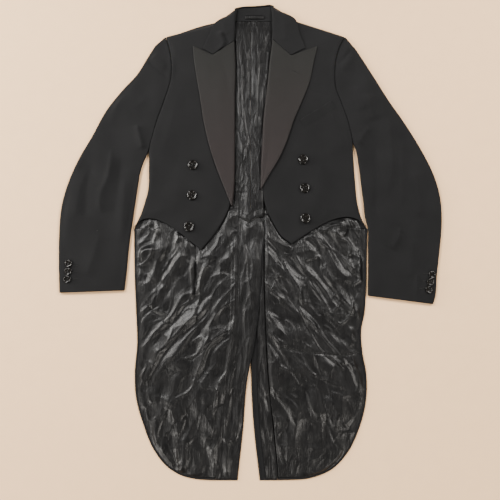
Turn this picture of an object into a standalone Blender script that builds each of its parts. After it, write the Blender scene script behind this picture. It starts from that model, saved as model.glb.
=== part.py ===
"""Evening tailcoat laid on its back with its fronts up and its tails spread.

World frame: metres, +Z up from the surface it lies on, +Y from the hem to the collar, +X to the wearer's left.
The tables below are in millimetres. "right" and "left" are the wearer's, so the right side is at -X.
Every cloth piece is a thin wall: its upper face is lofted from rows of sizes and given its thickness by Solidify.
"""

import math

import bmesh
import bpy
import numpy as np
from mathutils import Vector
from mathutils.bvhtree import BVHTree

MM = 0.001
PLAN_SHIFT = (-0.75, -3.0)

# Cloth thicknesses and the gap that is left at a seam or between two layers
SHELL = 1.5
LINING = 1.0
FORE = 2.6
SLEEVE = 2.0
FACED = 2.0
COLLAR = 1.6
SEAM = 0.3
LAYER = 0.3
STEP = 22.0

# Heights of the stack, counted up from the floor
LINING_FACE = SHELL + LAYER + LINING
OVER_SHELL = SHELL + LAYER
NOSE_RADIUS = 4.2
FACING_UNDER = LINING_FACE + 0.9
EDGE_FACE = FACING_UNDER + FACED + FORE + 2 * LAYER
FLAP_LIFT = LINING_FACE + 1.4
NECK_LIFT = COLLAR + 0.5
SIDES = ("right", "left")

# Armhole from the shoulder point to the underarm, then side seam down to the hip corner: x, y
ARMHOLE = {
    "right": [(-190, 437), (-181, 408), (-175, 370), (-176, 335), (-188, 290), (-207, 230), (-221, 172)],
    "left": [(212, 437), (200, 415), (190, 383), (186, 345), (188, 312), (197, 286), (211, 243), (222, 192)],
}
SIDE_SEAM = {
    "right": [(-221, 172), (-220, 125), (-220, 88), (-227, 55), (-236, 26), (-247, 0)],
    "left": [(222, 192), (224, 140), (226, 93), (229, 55), (236, 24), (248, -5)],
}
# Front edge of a forepart, from its point past the break and up inside the lapel's roll to the neck: x, y
FRONT_EDGE = {
    "right": [(-104, -46), (-78, -14), (-58, 17), (-45, 47), (-40.5, 84), (-39.5, 130), (-39.5, 185), (-39.5, 241),
              (-39.5, 300), (-38.5, 350), (-40.5, 395), (-45, 432), (-60, 474)],
    "left": [(87, -33), (66, -17), (48, 12), (34, 42), (26.5, 85), (27.5, 120), (29, 155), (33.5, 241),
             (38.5, 288), (44, 330), (48, 370), (57, 428), (86, 481)],
}
HEM_RISE = {"right": 34.0, "left": 38.0}
HEM_RISE_ENDS = 0.3
SHOULDER = {"right": ((-190, 437), (-60, 474)), "left": ((212, 437), (86, 481))}

# About how wide and long a forepart is, which spaces the rows that round its rims
FORE_WIDTH = 175.0
FORE_LENGTH = 440.0
# Crown of a forepart over the floor, up its length: y, height
CROWN = [(-50, 8.2), (100, 8.5), (320, 9.6), (400, 10.4), (480, 10.0)]
ARM_FACE = 8.6
SIDE_ROLL = 7.0
SHOULDER_ROLL = 9.0

# Back, below the armhole: side seam of the back, then the seam of its long strip down to the hem: x, y
BACK_SEAM = {
    "right": [(-150, 272), (-112, 185), (-72, 98), (-38, 42), (-27, 16), (-26, -50), (-26, -107), (-30, -213),
              (-46, -313), (-63, -432), (-70, -508)],
    "left": [(160, 262), (118, 180), (76, 95), (42, 42), (29, 18), (27, -50), (27, -107), (29, -190),
             (35, -313), (47, -430), (54, -508)],
}
# Centre back: seam to the waist, then the edge of the vent. The right side's flap lies over the left side: x, y
CENTRE_BACK = {
    "right": [(0, 469), (0, 360), (0, 250), (0, 150), (0, 60), (1, 41), (24, 20), (26, -60), (22, -120), (15, -192),
              (6, -250), (-1, -285), (-6, -311), (-15, -411), (-26, -508)],
    "left": [(0, 469), (0, 360), (0, 250), (0, 150), (0, 60), (1, 20), (1, -60), (1, -120), (1, -192),
             (1, -250), (1, -285), (1, -311), (5, -391), (18, -508)],
}
NECK_RISE = 17.0
# Back lining: its ends up the coat, how far its foot is pointed, and half its width at the neck and the waist
NECK_Y = 469.0
WAIST_Y = 21.0
LINING_POINT = 11.0
LINING_WIDTH = (61.0, 40.0)

# Outer edge of a tail, from the hip corner round to the strip's seam at the hem: x, y
TAIL_EDGE = {
    "right": [(-248, -2), (-246, -50), (-243, -110), (-238, -178), (-234, -240), (-237, -300), (-233, -348),
              (-218, -397), (-192, -453), (-167, -482), (-140, -498), (-105, -506), (-71, -508)],
    "left": [(248, -7), (245, -60), (242, -122), (237, -178), (229, -214), (230, -255), (237, -304), (235, -351),
             (218, -411), (194, -456), (164, -486), (122, -503), (55, -508)],
}
TAIL_BORDER = 4.5
FLAP_BORDER = 3.0
VENT_FACING = 13.0

# Lapel, from the break up to the gorge: roll line, middle and outer edge of each row: x, y each
LAPEL = {
    "right": [(-40, 50, -44, 52, -50, 54), (-35, 84, -45, 84, -55, 85), (-34, 130, -54, 130, -73, 131),
              (-34, 177, -61, 177, -88, 177), (-34, 241, -69, 241, -103, 241), (-34, 300, -73, 299, -112, 298),
              (-33, 350, -78, 344, -121, 350), (-34, 392, -82, 371, -126, 385), (-36, 424, -84, 390.5, -128, 411)],
    "left": [(21, 87, 26, 89, 32, 90), (22, 115, 31, 115, 40, 116), (23, 150, 42, 150, 60, 150),
             (25, 183, 50, 183, 75, 183), (28, 241, 62, 241, 95, 241), (33, 288, 75, 288, 115, 288),
             (38, 330, 85, 327, 131, 331), (42, 372, 88, 358, 140, 374), (49, 427, 90, 388.5, 149, 411)],
}
# Collar leaf on the front, from the gorge up to the back of the neck: fold line, knee and edge: x, y each
COLLAR_LEAF = {
    "right": [(-36, 425.5, -83.5, 392.2, -106, 406), (-35, 448, -70, 430, -93, 437), (-34, 472, -62, 464, -80, 467),
              (-32, 490, -50, 484, -61, 482), (-29, 503, -34, 500, -39, 499)],
    "left": [(49, 428.5, 89.5, 390.2, 122, 407), (49, 450, 84, 432, 111, 440), (49, 474, 76, 468, 99, 478),
             (48, 492, 64, 488, 77, 493), (46, 507, 51, 506, 56, 507)],
}
# Collar behind the neck: lower edge on the floor, silhouette, height that it rolls up to: x, y, x, y, z
COLLAR_BACK = [
    (-27, 455, -28, 508, 9.0), (-14, 454, -14, 510, 9.8), (10, 453, 10, 511, 10.0), (32, 454, 32, 513, 9.8),
    (44, 456, 45, 514, 9.0),
]
STAND_ENDS = (-26.0, 43.0)
STAND_PROFILE = [(470.5, 5.9), (480, 5.9), (492, 7.0), (499, 8.4)]

# Sleeve rows from just below the cap to the cuff: outer edge, inner edge, crown, height of the rolled edges
SLEEVE_ROWS = {
    "right": [(-213, 416, -227, 158, 8.6, 7.8), (-229, 388, -231, 148, 8.4, 7.7), (-250, 350, -235, 136, 8.2, 7.6),
              (-281, 313, -239, 118, 8.0, 7.5), (-315, 266, -242, 92, 8.0, 7.5), (-345, 205, -246, 58, 8.0, 7.5),
              (-371, 155, -250, 22, 8.0, 7.5), (-391, 104, -254, -12, 8.0, 7.4), (-404, 48, -257, -48, 8.0, 7.4),
              (-406, -10, -259, -80, 8.0, 7.3), (-403.5, -75, -261, -108, 7.9, 7.2), (-399, -136, -263, -131, 7.8, 7.0)],
    "left": [(236, 406, 229, 174, 8.6, 7.8), (256, 372, 232, 158, 8.4, 7.7), (280, 330, 234, 138, 8.2, 7.6),
             (304, 287, 236, 118, 8.0, 7.5), (330, 246, 238, 92, 8.0, 7.5), (355, 203, 241, 60, 8.0, 7.5),
             (379, 156, 245, 27, 8.0, 7.5), (396, 114, 251, -4, 8.0, 7.4), (406, 70, 252, -32, 8.0, 7.4),
             (407, 15, 252, -65, 8.0, 7.3), (401, -35, 251, -95, 7.9, 7.2), (391, -98, 249, -122, 7.9, 7.1),
             (380, -158, 246, -142, 7.8, 7.0)],
}
CAP_FACE = 8.6
CAP_SWING = 14.0
UNDER_WRAP = 12.0
EDGE_RADIUS = 4.0

# Largest folds as soft ridges, or troughs where the height is negative: half width, height, then x, y down its length
SLEEVE_FOLDS = {
    "right": [(10, 2.0, (-200, 370), (-222, 396)), (11, 2.2, (-245, 240), (-236, 170)), (16, 1.8, (-283, 300), (-306, 225)),
              (13, 2.2, (-300, 180), (-330, 92), (-325, 55)), (14, 1.4, (-318, -5), (-345, -105)),
              (15, 1.4, (-352, 130), (-374, 20))],
    "left": [(10, 2.0, (208, 380), (230, 397)), (11, 2.2, (244, 178), (262, 228)), (15, 1.8, (256, 300), (272, 238)),
             (14, 2.2, (300, 246), (304, 150), (290, 60)), (14, 1.4, (318, -20), (288, -76)),
             (15, 1.4, (352, 130), (358, 20))],
}
TAIL_FOLDS = {
    "right": [(9, 5.0, (-92, -68), (-110, -118), (-118, -170), (-140, -215), (-190, -255)),
              (8, 4.0, (-128, -55), (-130, -120), (-138, -152)),
              (9, 4.0, (-228, -98), (-224, -148), (-190, -185), (-165, -196)),
              (8, 3.5, (-54, -178), (-92, -212), (-104, -245)),
              (8, 4.0, (-44, -222), (-105, -262), (-135, -285)),
              (9, 4.0, (-108, -270), (-125, -325), (-152, -352), (-168, -395)),
              (8, 4.0, (-232, -78), (-202, -45), (-194, -12)),
              (10, 3.0, (-200, -300), (-160, -330)),
              (9, 3.0, (-80, -300), (-92, -390), (-95, -450))],
    "left": [(9, 4.5, (48, -80), (88, -145), (122, -212), (158, -262)),
             (9, 5.0, (88, -48), (112, -138), (150, -210), (188, -262), (222, -318)),
             (9, 4.0, (140, -12), (196, -72), (222, -108)),
             (9, 4.0, (58, -258), (98, -288), (150, -322), (200, -345)),
             (8, 3.0, (44, -210), (52, -300), (62, -365)),
             (9, 4.0, (196, -18), (190, -70), (214, -120), (206, -170)),
             (10, 3.0, (150, -345), (180, -400), (186, -440)),
             (9, 3.0, (80, -330), (96, -420), (92, -470))],
}
STRIP_FOLDS = [(5, 1.6, (-20, 0), (-14, -60), (0, -150), (6, -205)), (5, 1.2, (-22, -230), (-28, -330), (-36, -440))]
PLEATS = [(3.2, 3.0, (-31.5, 8), (-32, -107), (-36, -213), (-50, -300)),
          (3.2, 2.2, (-40, 4), (-41, -107), (-46, -205))]
BACK_FOLDS = [
    (5, 2.6, (-22, 452), (-26, 395), (-22, 330), (-18, 240), (-24, 150)),
    (5, 2.2, (-8, 440), (-10, 350), (-8, 240)),
    (5, 2.6, (10, 430), (16, 350), (12, 250), (6, 160)),
    (5, 2.4, (28, 440), (30, 360), (20, 280)),
    (6, 2.6, (-20, 200), (-14, 130), (-18, 70)),
]
FOLD_MARGIN = 14.0

# Buttons: diameter, thickness, and each centre, x, y. Their profile is in shares of the radius and the thickness.
FRONT_BUTTON = (21.0, 4.0)
CUFF_BUTTON = (15.0, 3.2)
BUTTON_PROFILE = [(0.0, 0.62), (0.6, 0.62), (0.84, 1.0), (1.0, 0.5), (0.75, 0.0), (0.0, 0.0)]
FRONT_BUTTONS = {
    "right": [(-124, 138), (-125, 71), (-130, 3)],
    "left": [(113, 150), (116, 87), (116, 21)],
}
CUFF_BUTTONS = {
    "right": [(-381, -75), (-381, -91.5), (-382, -108)],
    "left": [(379, -98), (374.5, -113.5), (371, -129.5)],
}
WELT = ((114, 244), (177, 283), 20.0, 1.2)
LOOP = (-12.0, 30.0, 477.0, 484.0, 1.2)

WOOL = ("wool", (0.022, 0.022, 0.024), 0.85)
FAILLE = ("faille", (0.055, 0.048, 0.046), 0.6)
SATIN = ("satin", (0.03, 0.029, 0.03), 0.3)
HORN = ("horn", (0.012, 0.011, 0.011), 0.2)


def clear_scene():
    for obj in list(bpy.data.objects):
        bpy.data.objects.remove(obj)


def material(spec):
    name, colour, roughness = spec
    made = bpy.data.materials.get(name)
    if made is None:
        made = bpy.data.materials.new(name)
        made.use_nodes = True
        shader = made.node_tree.nodes["Principled BSDF"]
        shader.inputs["Base Color"].default_value = (*colour, 1.0)
        shader.inputs["Roughness"].default_value = roughness
        shader.inputs["Metallic"].default_value = 0.0
    return made


# Curves in the plan


def smooth(value):
    value = np.clip(value, 0.0, 1.0)
    return value * value * (3.0 - 2.0 * value)


def quarter_round(value):
    value = np.clip(value, 0.0, 1.0)
    return np.sqrt(1.0 - (1.0 - value) ** 2)


def lengths(points):
    points = np.asarray(points, float)
    return np.concatenate([[0.0], np.cumsum(np.linalg.norm(np.diff(points, axis=0), axis=1))])


def spline(table, places):
    """A smooth curve through every column of a table, at places given from 0 to 1 along its rows."""
    rows = np.asarray(table, float)
    knots = lengths(rows[:, :2])
    if rows.shape[1] >= 4:
        knots = (knots + lengths(rows[:, 2:4])) / 2
    knots = knots / knots[-1]
    gaps = np.diff(knots)
    slopes = np.diff(rows, axis=0) / gaps[:, None]
    tangents = np.empty_like(rows)
    tangents[0], tangents[-1] = slopes[0], slopes[-1]
    share = (gaps[:-1] / (gaps[:-1] + gaps[1:]))[:, None]
    tangents[1:-1] = slopes[:-1] * (1 - share) + slopes[1:] * share
    places = np.clip(places, 0.0, 1.0)
    i = np.clip(np.searchsorted(knots, places, side="right") - 1, 0, len(rows) - 2)
    u = ((places - knots[i]) / gaps[i])[:, None]
    h = gaps[i][:, None]
    return (
        (2 * u**3 - 3 * u**2 + 1) * rows[i] + (u**3 - 2 * u**2 + u) * h * tangents[i]
        + (3 * u**2 - 2 * u**3) * rows[i + 1] + (u**3 - u**2) * h * tangents[i + 1]
    )


def chain(table, step=STEP):
    """The smooth curve through a table as a polyline with even steps."""
    count = max(2, round(lengths(table)[-1] / step))
    return spline(table, np.linspace(0, 1, count + 1))


def along(polyline, places):
    """Points on a polyline at places from 0 to 1 of its length."""
    at = lengths(polyline)
    at = at / at[-1]
    return np.stack([np.interp(places, at, polyline[:, k]) for k in range(2)], axis=1)


def moved_aside(polyline, distance):
    """A polyline moved to the left of its own direction, or to the right by a negative distance."""
    ahead = np.gradient(polyline, axis=0)
    ahead = ahead / np.linalg.norm(ahead, axis=1)[:, None]
    return polyline + distance * np.stack([-ahead[:, 1], ahead[:, 0]], axis=1)


def x_at(polyline, y):
    """x of a polyline that climbs or falls all the way, at a height y in the plan."""
    order = np.argsort(polyline[:, 1])
    return np.interp(y, polyline[order, 1], polyline[order, 0])


OUTWARD = {"right": -1.0, "left": 1.0}
ARM = {side: chain(ARMHOLE[side], 12.0) for side in SIDES}
SEAM_SIDE = {side: chain(SIDE_SEAM[side]) for side in SIDES}
FLANK = {side: np.concatenate([SEAM_SIDE[side][::-1], ARM[side][::-1][1:]]) for side in SIDES}
EDGE = {side: chain(FRONT_EDGE[side], 6.0) for side in SIDES}


def ridge(x, y, fold):
    """Height that one fold adds at x, y: a soft ridge about a line that dies out at both ends."""
    width, height, *line = fold
    line = np.asarray(line, float)
    reach = lengths(line)
    best = np.full(np.shape(x), 1e9)
    place = np.zeros(np.shape(x))
    for start, end, begun in zip(line[:-1], line[1:], reach[:-1]):
        run = end - start
        share = np.clip(((x - start[0]) * run[0] + (y - start[1]) * run[1]) / (run @ run), 0, 1)
        away = np.hypot(x - start[0] - share * run[0], y - start[1] - share * run[1])
        place = np.where(away < best, begun + share * math.hypot(*run), place)
        best = np.minimum(best, away)
    taper = smooth(4 * place / reach[-1] + 0.15) * smooth(4 * (1 - place / reach[-1]) + 0.15)
    return height * np.exp(-((best / width) ** 2)) * taper


def folds(x, y, table):
    return sum(ridge(x, y, fold) for fold in table)


# Heights over the floor, as functions of the plan


def neck_lift(x, y):
    """How far the back's neck is held up by the collar leaf that lies under it."""
    away = np.hypot((x - 9.0) / 1.3, y - 492.0)
    return NECK_LIFT * smooth((84.0 - away) / 38.0)


def flap_lift(x, y):
    """How far the right back is held up where its vent flap lies over the left back."""
    under = x_at(np.asarray(CENTRE_BACK["left"], float), y)
    across = smooth((x - under + 25.0) / 22.0)
    return FLAP_LIFT * across * smooth((150.0 - y) / 96.0) * smooth((y + 375.0) / 90.0)


def back_lift(side, x, y):
    lift = neck_lift(x, y)
    return lift + flap_lift(x, y) if side == "right" else lift


def front_face(side, x, y):
    """Upper face of a forepart: low at its front edge, crowned over the chest and rolled down at its sides."""
    from_side = (x - x_at(FLANK[side], y)) * -OUTWARD[side]
    from_edge = (x_at(EDGE[side], y) - x) * -OUTWARD[side]
    width = from_side + from_edge
    crown = np.interp(y, *np.transpose(CROWN))
    edge = EDGE_FACE + neck_lift(x, y)
    face = edge + (crown - edge) * smooth(from_edge / (0.6 * width))
    rim = OVER_SHELL + neck_lift(x, y)
    underarm = ARMHOLE[side][-1][1]
    seam = rim + (ARM_FACE - rim) * smooth((y - underarm + 14.0) / 30.0)
    face = seam + (face - seam) * quarter_round(from_side / SIDE_ROLL)
    outer, neck = np.asarray(SHOULDER[side], float)
    run = (neck - outer) / np.linalg.norm(neck - outer)
    below = ((x - outer[0]) * run[1] - (y - outer[1]) * run[0]) * -OUTWARD[side]
    return rim + (face - rim) * quarter_round(below / SHOULDER_ROLL)


# Building walls


def surface_of(obj):
    bpy.context.view_layer.update()
    return BVHTree.FromObject(obj, bpy.context.evaluated_depsgraph_get())


def top_at(tree, x, y, otherwise=None):
    """Height of the top of a built piece at a point of the plan, in millimetres."""
    start = Vector(((x + PLAN_SHIFT[0]) * MM, (y + PLAN_SHIFT[1]) * MM, 0.1))
    hit = tree.ray_cast(start, Vector((0, 0, -1)))[0]
    return otherwise if hit is None else hit.z / MM


def laid_on(tree, plan):
    """Height of the floor or cloth that a piece lies on, at each of its points in the plan."""
    spots = [(0, 0), (4, 0), (-4, 0), (0, 6), (0, -6)]
    return np.array([max(SHELL, *(top_at(tree, x + dx, y + dy, SHELL) for dx, dy in spots)) for x, y in plan])


def wall(name, grid, thickness, spec, under=None, upward=False):
    """A closed wall from a grid of points in millimetres, rows by columns.

    The grid is its outer face and its thickness goes in below it, or above it where it is built upward.
    Its rims don't dip into the cloth under it, so they stand flat on what carries them.
    """
    grid = np.asarray(grid, float) + np.array([*PLAN_SHIFT, 0.0])
    rows, columns = grid.shape[:2]
    shaped = bmesh.new()
    points = [shaped.verts.new(Vector(p * MM)) for p in grid.reshape(-1, 3)]
    for r in range(rows - 1):
        for c in range(columns - 1):
            a = r * columns + c
            shaped.faces.new([points[a], points[a + 1], points[a + columns + 1], points[a + columns]])
    shaped.normal_update()
    if sum(face.normal.z * face.calc_area() for face in shaped.faces) < 0:
        bmesh.ops.reverse_faces(shaped, faces=list(shaped.faces))
    mesh = bpy.data.meshes.new(name)
    shaped.to_mesh(mesh)
    shaped.free()
    mesh.materials.append(material(spec))
    mesh.shade_smooth()
    obj = bpy.data.objects.new(name, mesh)
    COAT.objects.link(obj)
    solid = obj.modifiers.new("thickness", "SOLIDIFY")
    solid.thickness = thickness * MM
    solid.offset = 1.0 if upward else -1.0
    solid.use_even_offset = not upward
    solid.thickness_clamp = 1.0
    bpy.context.view_layer.update()
    thick = bpy.data.meshes.new_from_object(obj.evaluated_get(bpy.context.evaluated_depsgraph_get()))
    for vertex in thick.vertices:
        x, y = vertex.co.x / MM - PLAN_SHIFT[0], vertex.co.y / MM - PLAN_SHIFT[1]
        lowest = 0.0 if under is None else laid_on(under, [(x, y)])[0] + LAYER
        vertex.co.z = max(vertex.co.z, lowest * MM)
    obj.modifiers.clear()
    obj.data = thick
    return obj


def flat_panel(name, outline, thickness, spec):
    """A flat piece on the floor, cut to an outline."""
    curve = bpy.data.curves.new(name, "CURVE")
    curve.dimensions = "2D"
    curve.fill_mode = "BOTH"
    curve.extrude = thickness * MM / 2
    line = curve.splines.new("POLY")
    line.points.add(len(outline) - 1)
    for point, (x, y) in zip(line.points, outline):
        point.co = ((x + PLAN_SHIFT[0]) * MM, (y + PLAN_SHIFT[1]) * MM, 0.0, 1.0)
    line.use_cyclic_u = True
    curve.materials.append(material(spec))
    obj = bpy.data.objects.new(name, curve)
    obj.location = (0.0, 0.0, thickness * MM / 2)
    COAT.objects.link(obj)
    return obj


def between(outer, inner, places, rise=0.0, skew=0.65):
    """Points across one row, with a rise that swells near the outer end."""
    places = np.asarray(places, float)
    points = outer[None] + (inner - outer)[None] * places[:, None]
    points[:, 1] += rise * np.sin(math.pi * places**skew)
    return points


def forepart(side, under):
    """Forepart from hem to shoulder: its rows run from the side seam or armhole to the front edge."""
    across = np.concatenate([np.array([0.0, 1.2, 4.4]) / FORE_WIDTH, np.linspace(SIDE_ROLL / FORE_WIDTH, 1.0, 9)])
    down = np.array([0.0, 1.6, 6.4]) / FORE_LENGTH
    places = np.concatenate([np.linspace(0, 1, 22)[:-1], (1 - down)[::-1]])
    outer = along(FLANK[side], places)
    inner = along(EDGE[side], places)
    rows = []
    for place, start, end in zip(places, outer, inner):
        rise = HEM_RISE[side] * max(0.0, 1 - place / HEM_RISE_ENDS) ** 2
        plan = between(start, end, across, rise)
        rows.append(np.column_stack([plan, front_face(side, plan[:, 0], plan[:, 1])]))
    return wall(f"forepart_{side}", rows, FORE, WOOL, under)


def drape(side, x, y, reach=9.0):
    """Highest level of a forepart near each point, which is what a leaf of cloth over it rests on."""
    turns = np.linspace(0, 2 * math.pi, 8, endpoint=False)
    spots = [(0.0, 0.0)] + [(reach * math.cos(a), reach * math.sin(a)) for a in turns]
    return np.max([front_face(side, x + dx, y + dy) for dx, dy in spots], axis=0)


def nose(under_reach, base, top):
    """Distances in from a fold line, and heights, of a section that starts under the fold and turns over it."""
    radius = (top - base) / 2
    turns = np.radians([-90, -30, 30, 90])
    away = np.concatenate([[under_reach], NOSE_RADIUS * (1 - np.cos(turns))])
    high = np.concatenate([[base], base + radius * (1 + np.sin(turns))])
    return away, high


def folded_leaf(name, side, table, knee, columns, count, spec, thickness):
    """A lapel or collar leaf: each row turns over the roll line and lies on the forepart out to its edge."""
    rows = []
    for row in spline(table, np.linspace(0, 1, count)):
        roll, middle, edge = row[0:2], row[2:4], row[4:6]
        width = np.linalg.norm(edge - roll)
        lift = float(neck_lift(*roll))
        base = FACING_UNDER + lift
        top = base + 2 * NOSE_RADIUS
        reach = min(11.0, max(0.7 * width, NOSE_RADIUS + 1.0))
        away, high = nose(reach, base, top)
        lead = (middle - roll) / np.linalg.norm(middle - roll)
        plan = roll[None] + lead[None] * away[:, None]
        shares = np.arange(1, columns + 1) / columns
        start = roll + lead * NOSE_RADIUS
        top_plan = np.array([
            start + (middle - start) * s / knee if s <= knee + 1e-9
            else middle + (edge - middle) * (s - knee) / (1 - knee)
            for s in shares
        ])
        rest = drape(side, top_plan[:, 0], top_plan[:, 1]) + LAYER + 0.3 + thickness
        last = rest[-1]
        bridge = top + (last - top) * shares**1.4
        face = np.maximum(rest, bridge)
        rows.append(np.column_stack([np.concatenate([plan, top_plan]), np.concatenate([high, face])]))
    return wall(name, rows, thickness, spec)


def back(side):
    """Back from neck to hem in one long piece, narrow at the waist, with the vent below it."""
    upper = ARM[side][: int(np.argmin(abs(ARM[side][:, 1] - 332.0))) + 1]
    seam = chain([tuple(upper[-1]), *BACK_SEAM[side]], 28.0)
    outer = moved_aside(np.concatenate([upper, seam[1:]]), -OUTWARD[side] * SEAM / 2)
    centre = chain(CENTRE_BACK[side], 4.0)
    centre[:, 0] += OUTWARD[side] * SEAM / 2
    places = lengths(outer) / lengths(outer)[-1]
    inner = along(centre, places)
    rows = []
    for place, start, end in zip(places, outer, inner):
        plan = between(start, end, np.linspace(0, 1, 7), NECK_RISE * max(0.0, 1 - place / 0.06) ** 2, 1.25)
        high = SHELL + back_lift(side, plan[:, 0], plan[:, 1])
        rows.append(np.column_stack([plan, high]))
    return wall(f"back_{side}", rows, SHELL, WOOL), outer, len(upper) - 1


def waist_line(side, seam_point):
    hip = SEAM_SIDE[side][-1]
    return np.array([hip, hip + (seam_point - hip) * 0.5 + np.array([0, 4.0]), seam_point])


def side_body(side, back_edge, turn):
    """Side body: from the armhole to the waist, between the back's seam and the side."""
    waist = int(np.argmin(abs(back_edge[:, 1] - 16.0)))
    seam = moved_aside(back_edge[turn : waist + 1], OUTWARD[side] * SEAM)
    arm = ARM[side]
    start = int(np.argmin(abs(arm[:, 1] - 332.0)))
    line = waist_line(side, seam[-1])
    outline = np.concatenate([arm[start + 1 :], SEAM_SIDE[side][1:-1], line, seam[::-1][1:-1]])
    return flat_panel(f"side_body_{side}", outline, SHELL, WOOL), waist


def tail(side, back_edge, waist):
    """Skirt of a tail, from the waist seam to its rounded end."""
    seam = moved_aside(back_edge[waist:], OUTWARD[side] * SEAM)
    line = waist_line(side, seam[0]) - np.array([0, SEAM])
    edge = chain(TAIL_EDGE[side])
    outline = np.concatenate([line[::-1], edge[1:-1], seam[::-1][:-1]])
    return flat_panel(f"tail_{side}", outline, SHELL, WOOL)


def tail_lining(side, back_edge):
    """Satin of a tail, inside a narrow border of the cloth, puckered by its folds."""
    border = OUTWARD[side] * TAIL_BORDER
    edge = chain(TAIL_EDGE[side], 8.0)
    ys = np.concatenate([np.linspace(18, -440, 24), [-462, -480, -492, -501]])
    rows = []
    for y in ys:
        outer = x_at(edge, y) - border
        if y < -380:
            ahead = moved_aside(edge, -border)
            order = np.argsort(ahead[:, 1])
            outer = np.interp(y, ahead[order, 1], ahead[order, 0])
        if y > 0:
            outer = x_at(SEAM_SIDE[side], y) - border * 2.6
        inner = x_at(back_edge, min(y, 10.0)) + OUTWARD[side] * (1.2 if side == "right" else 2.6)
        x = np.linspace(outer, inner, 15)
        shown = smooth((HEM_Y[side](x) - y) / 26.0)
        rim = smooth(abs(x - outer) / 12.0) * smooth(abs(x - inner) / 8.0 + 0.2) * smooth((y + 504) / 16.0)
        high = folds(x, np.full_like(x, y), TAIL_FOLDS[side]) * rim
        if side == "right":
            high = np.maximum(high, folds(x, np.full_like(x, y), PLEATS) * smooth(abs(x - inner) / 4.0))
        rows.append(np.column_stack([x, np.full_like(x, y), LINING_FACE + high * shown]))
    return wall(f"tail_lining_{side}", rows, LINING, SATIN)


def hem_height(side):
    """The line of a forepart's hem: y as a function of x."""
    start, end = np.asarray(SIDE_SEAM[side][-1], float), np.asarray(FRONT_EDGE[side][0], float)
    hem = between(start, end, np.linspace(0, 1, 30), HEM_RISE[side])
    edge = np.asarray(FRONT_EDGE[side][:4], float)
    line = np.concatenate([hem, edge[1:]])
    order = np.argsort(line[:, 0])
    return lambda x: np.interp(x, line[order, 0], line[order, 1])


HEM_Y = {side: hem_height(side) for side in SIDES}


def strip_lining(side, back_edge, under):
    """Satin of the long strip beside the vent."""
    centre = chain(CENTRE_BACK[side], 6.0)
    border = FLAP_BORDER if side == "right" else VENT_FACING
    rows = []
    count = 22 if side == "right" else 16
    for y in np.linspace(8.0 if side == "right" else 12.0, -504.0, count):
        outer = x_at(back_edge, y) - OUTWARD[side] * 1.2
        inner = x_at(centre, y) + OUTWARD[side] * border
        x = np.linspace(outer, inner, 6 if side == "right" else 4)
        level = np.full_like(x, y)
        high = folds(x, level, STRIP_FOLDS) * smooth(abs(x - inner) / 8.0) if side == "right" else 0.0
        rows.append(np.column_stack([x, level, laid_on(under, np.column_stack([x, level])) + 2 * LAYER + LINING + high]))
    return wall(f"strip_lining_{side}", rows, LINING, SATIN)


def back_lining(side, under):
    """Satin inside the back, seen between the fronts, with a pointed lower edge at the waist."""
    columns = np.array([0.0, 0.07, 0.14, 0.22, 0.31, 0.41, 0.53, 1.0])
    rows = []
    for place in np.linspace(0, 1, 20):
        x = OUTWARD[side] * (SEAM + columns * (LINING_WIDTH[0] + (LINING_WIDTH[1] - LINING_WIDTH[0]) * place))
        pointed = LINING_POINT * (1 - np.clip(abs(x) / 20.0, 0, 1))
        y = NECK_Y + (WAIST_Y - NECK_Y - pointed) * place
        inside = np.minimum(x - x_at(EDGE["right"], y), x_at(EDGE["left"], y) - x)
        high = folds(x, y, BACK_FOLDS) * smooth((inside - 12.0) / FOLD_MARGIN)
        high = high * smooth((NECK_Y - y) / 20.0) * smooth(abs(x) / 5.0 + 0.3)
        rows.append(np.column_stack([x, y, laid_on(under, np.column_stack([x, y])) + 2 * LAYER + LINING + high]))
    return wall(f"back_lining_{side}", rows, LINING, SATIN)


def collar_back():
    """Collar leaf behind the neck: flat on the floor under the back, rolled up to the fold."""
    rows = []
    for row in spline(COLLAR_BACK, np.linspace(0, 1, 9)):
        low, silhouette, top = row[0:2], row[2:4], row[4]
        lead = (low - silhouette) / np.linalg.norm(low - silhouette)
        width = np.linalg.norm(low - silhouette)
        radius = min(4.0, 0.4 * width)
        turns = np.radians([-90, -45, 0, 45, 90])
        away = np.concatenate([[width, (width + radius) / 2], radius * (1 - np.cos(turns))])
        high = np.concatenate([[0, 0], top / 2 * (1 + np.sin(turns))])
        plan = silhouette[None] + lead[None] * away[:, None]
        rows.append(np.column_stack([plan, high]))
    return wall("collar_back", rows, COLLAR, WOOL, upward=True)


def collar_stand():
    """Stand of the collar: the band inside the neck, from the lining's top to the fold."""
    rows = []
    for x in np.linspace(*STAND_ENDS, 12):
        crest = x_at(np.asarray(COLLAR_BACK, float)[:, [3, 2]], x)
        profile = np.asarray([*STAND_PROFILE, (crest - 6.2, 9.5)], float)
        rows.append(np.column_stack([np.full(len(profile), x), profile]))
    return wall("collar_stand", rows, COLLAR, WOOL)


def turned_button(name, centre, diameter, thickness, steps, seat):
    """A button: dished face inside a raised rim, turned about its own axis."""
    radius = diameter / 2
    mesh = bpy.data.meshes.new(name)
    points = [(r * radius * MM, 0.0, h * thickness * MM) for r, h in BUTTON_PROFILE]
    mesh.from_pydata(points, [(i, i + 1) for i in range(len(points) - 1)], [])
    mesh.materials.append(material(HORN))
    obj = bpy.data.objects.new(name, mesh)
    COAT.objects.link(obj)
    turn = obj.modifiers.new("turn", "SCREW")
    turn.steps = steps
    turn.render_steps = steps
    turn.use_merge_vertices = True
    turn.merge_threshold = 0.00002
    turn.use_smooth_shade = True
    obj.location = ((centre[0] + PLAN_SHIFT[0]) * MM, (centre[1] + PLAN_SHIFT[1]) * MM, (seat + LAYER) * MM)
    return obj


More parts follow.
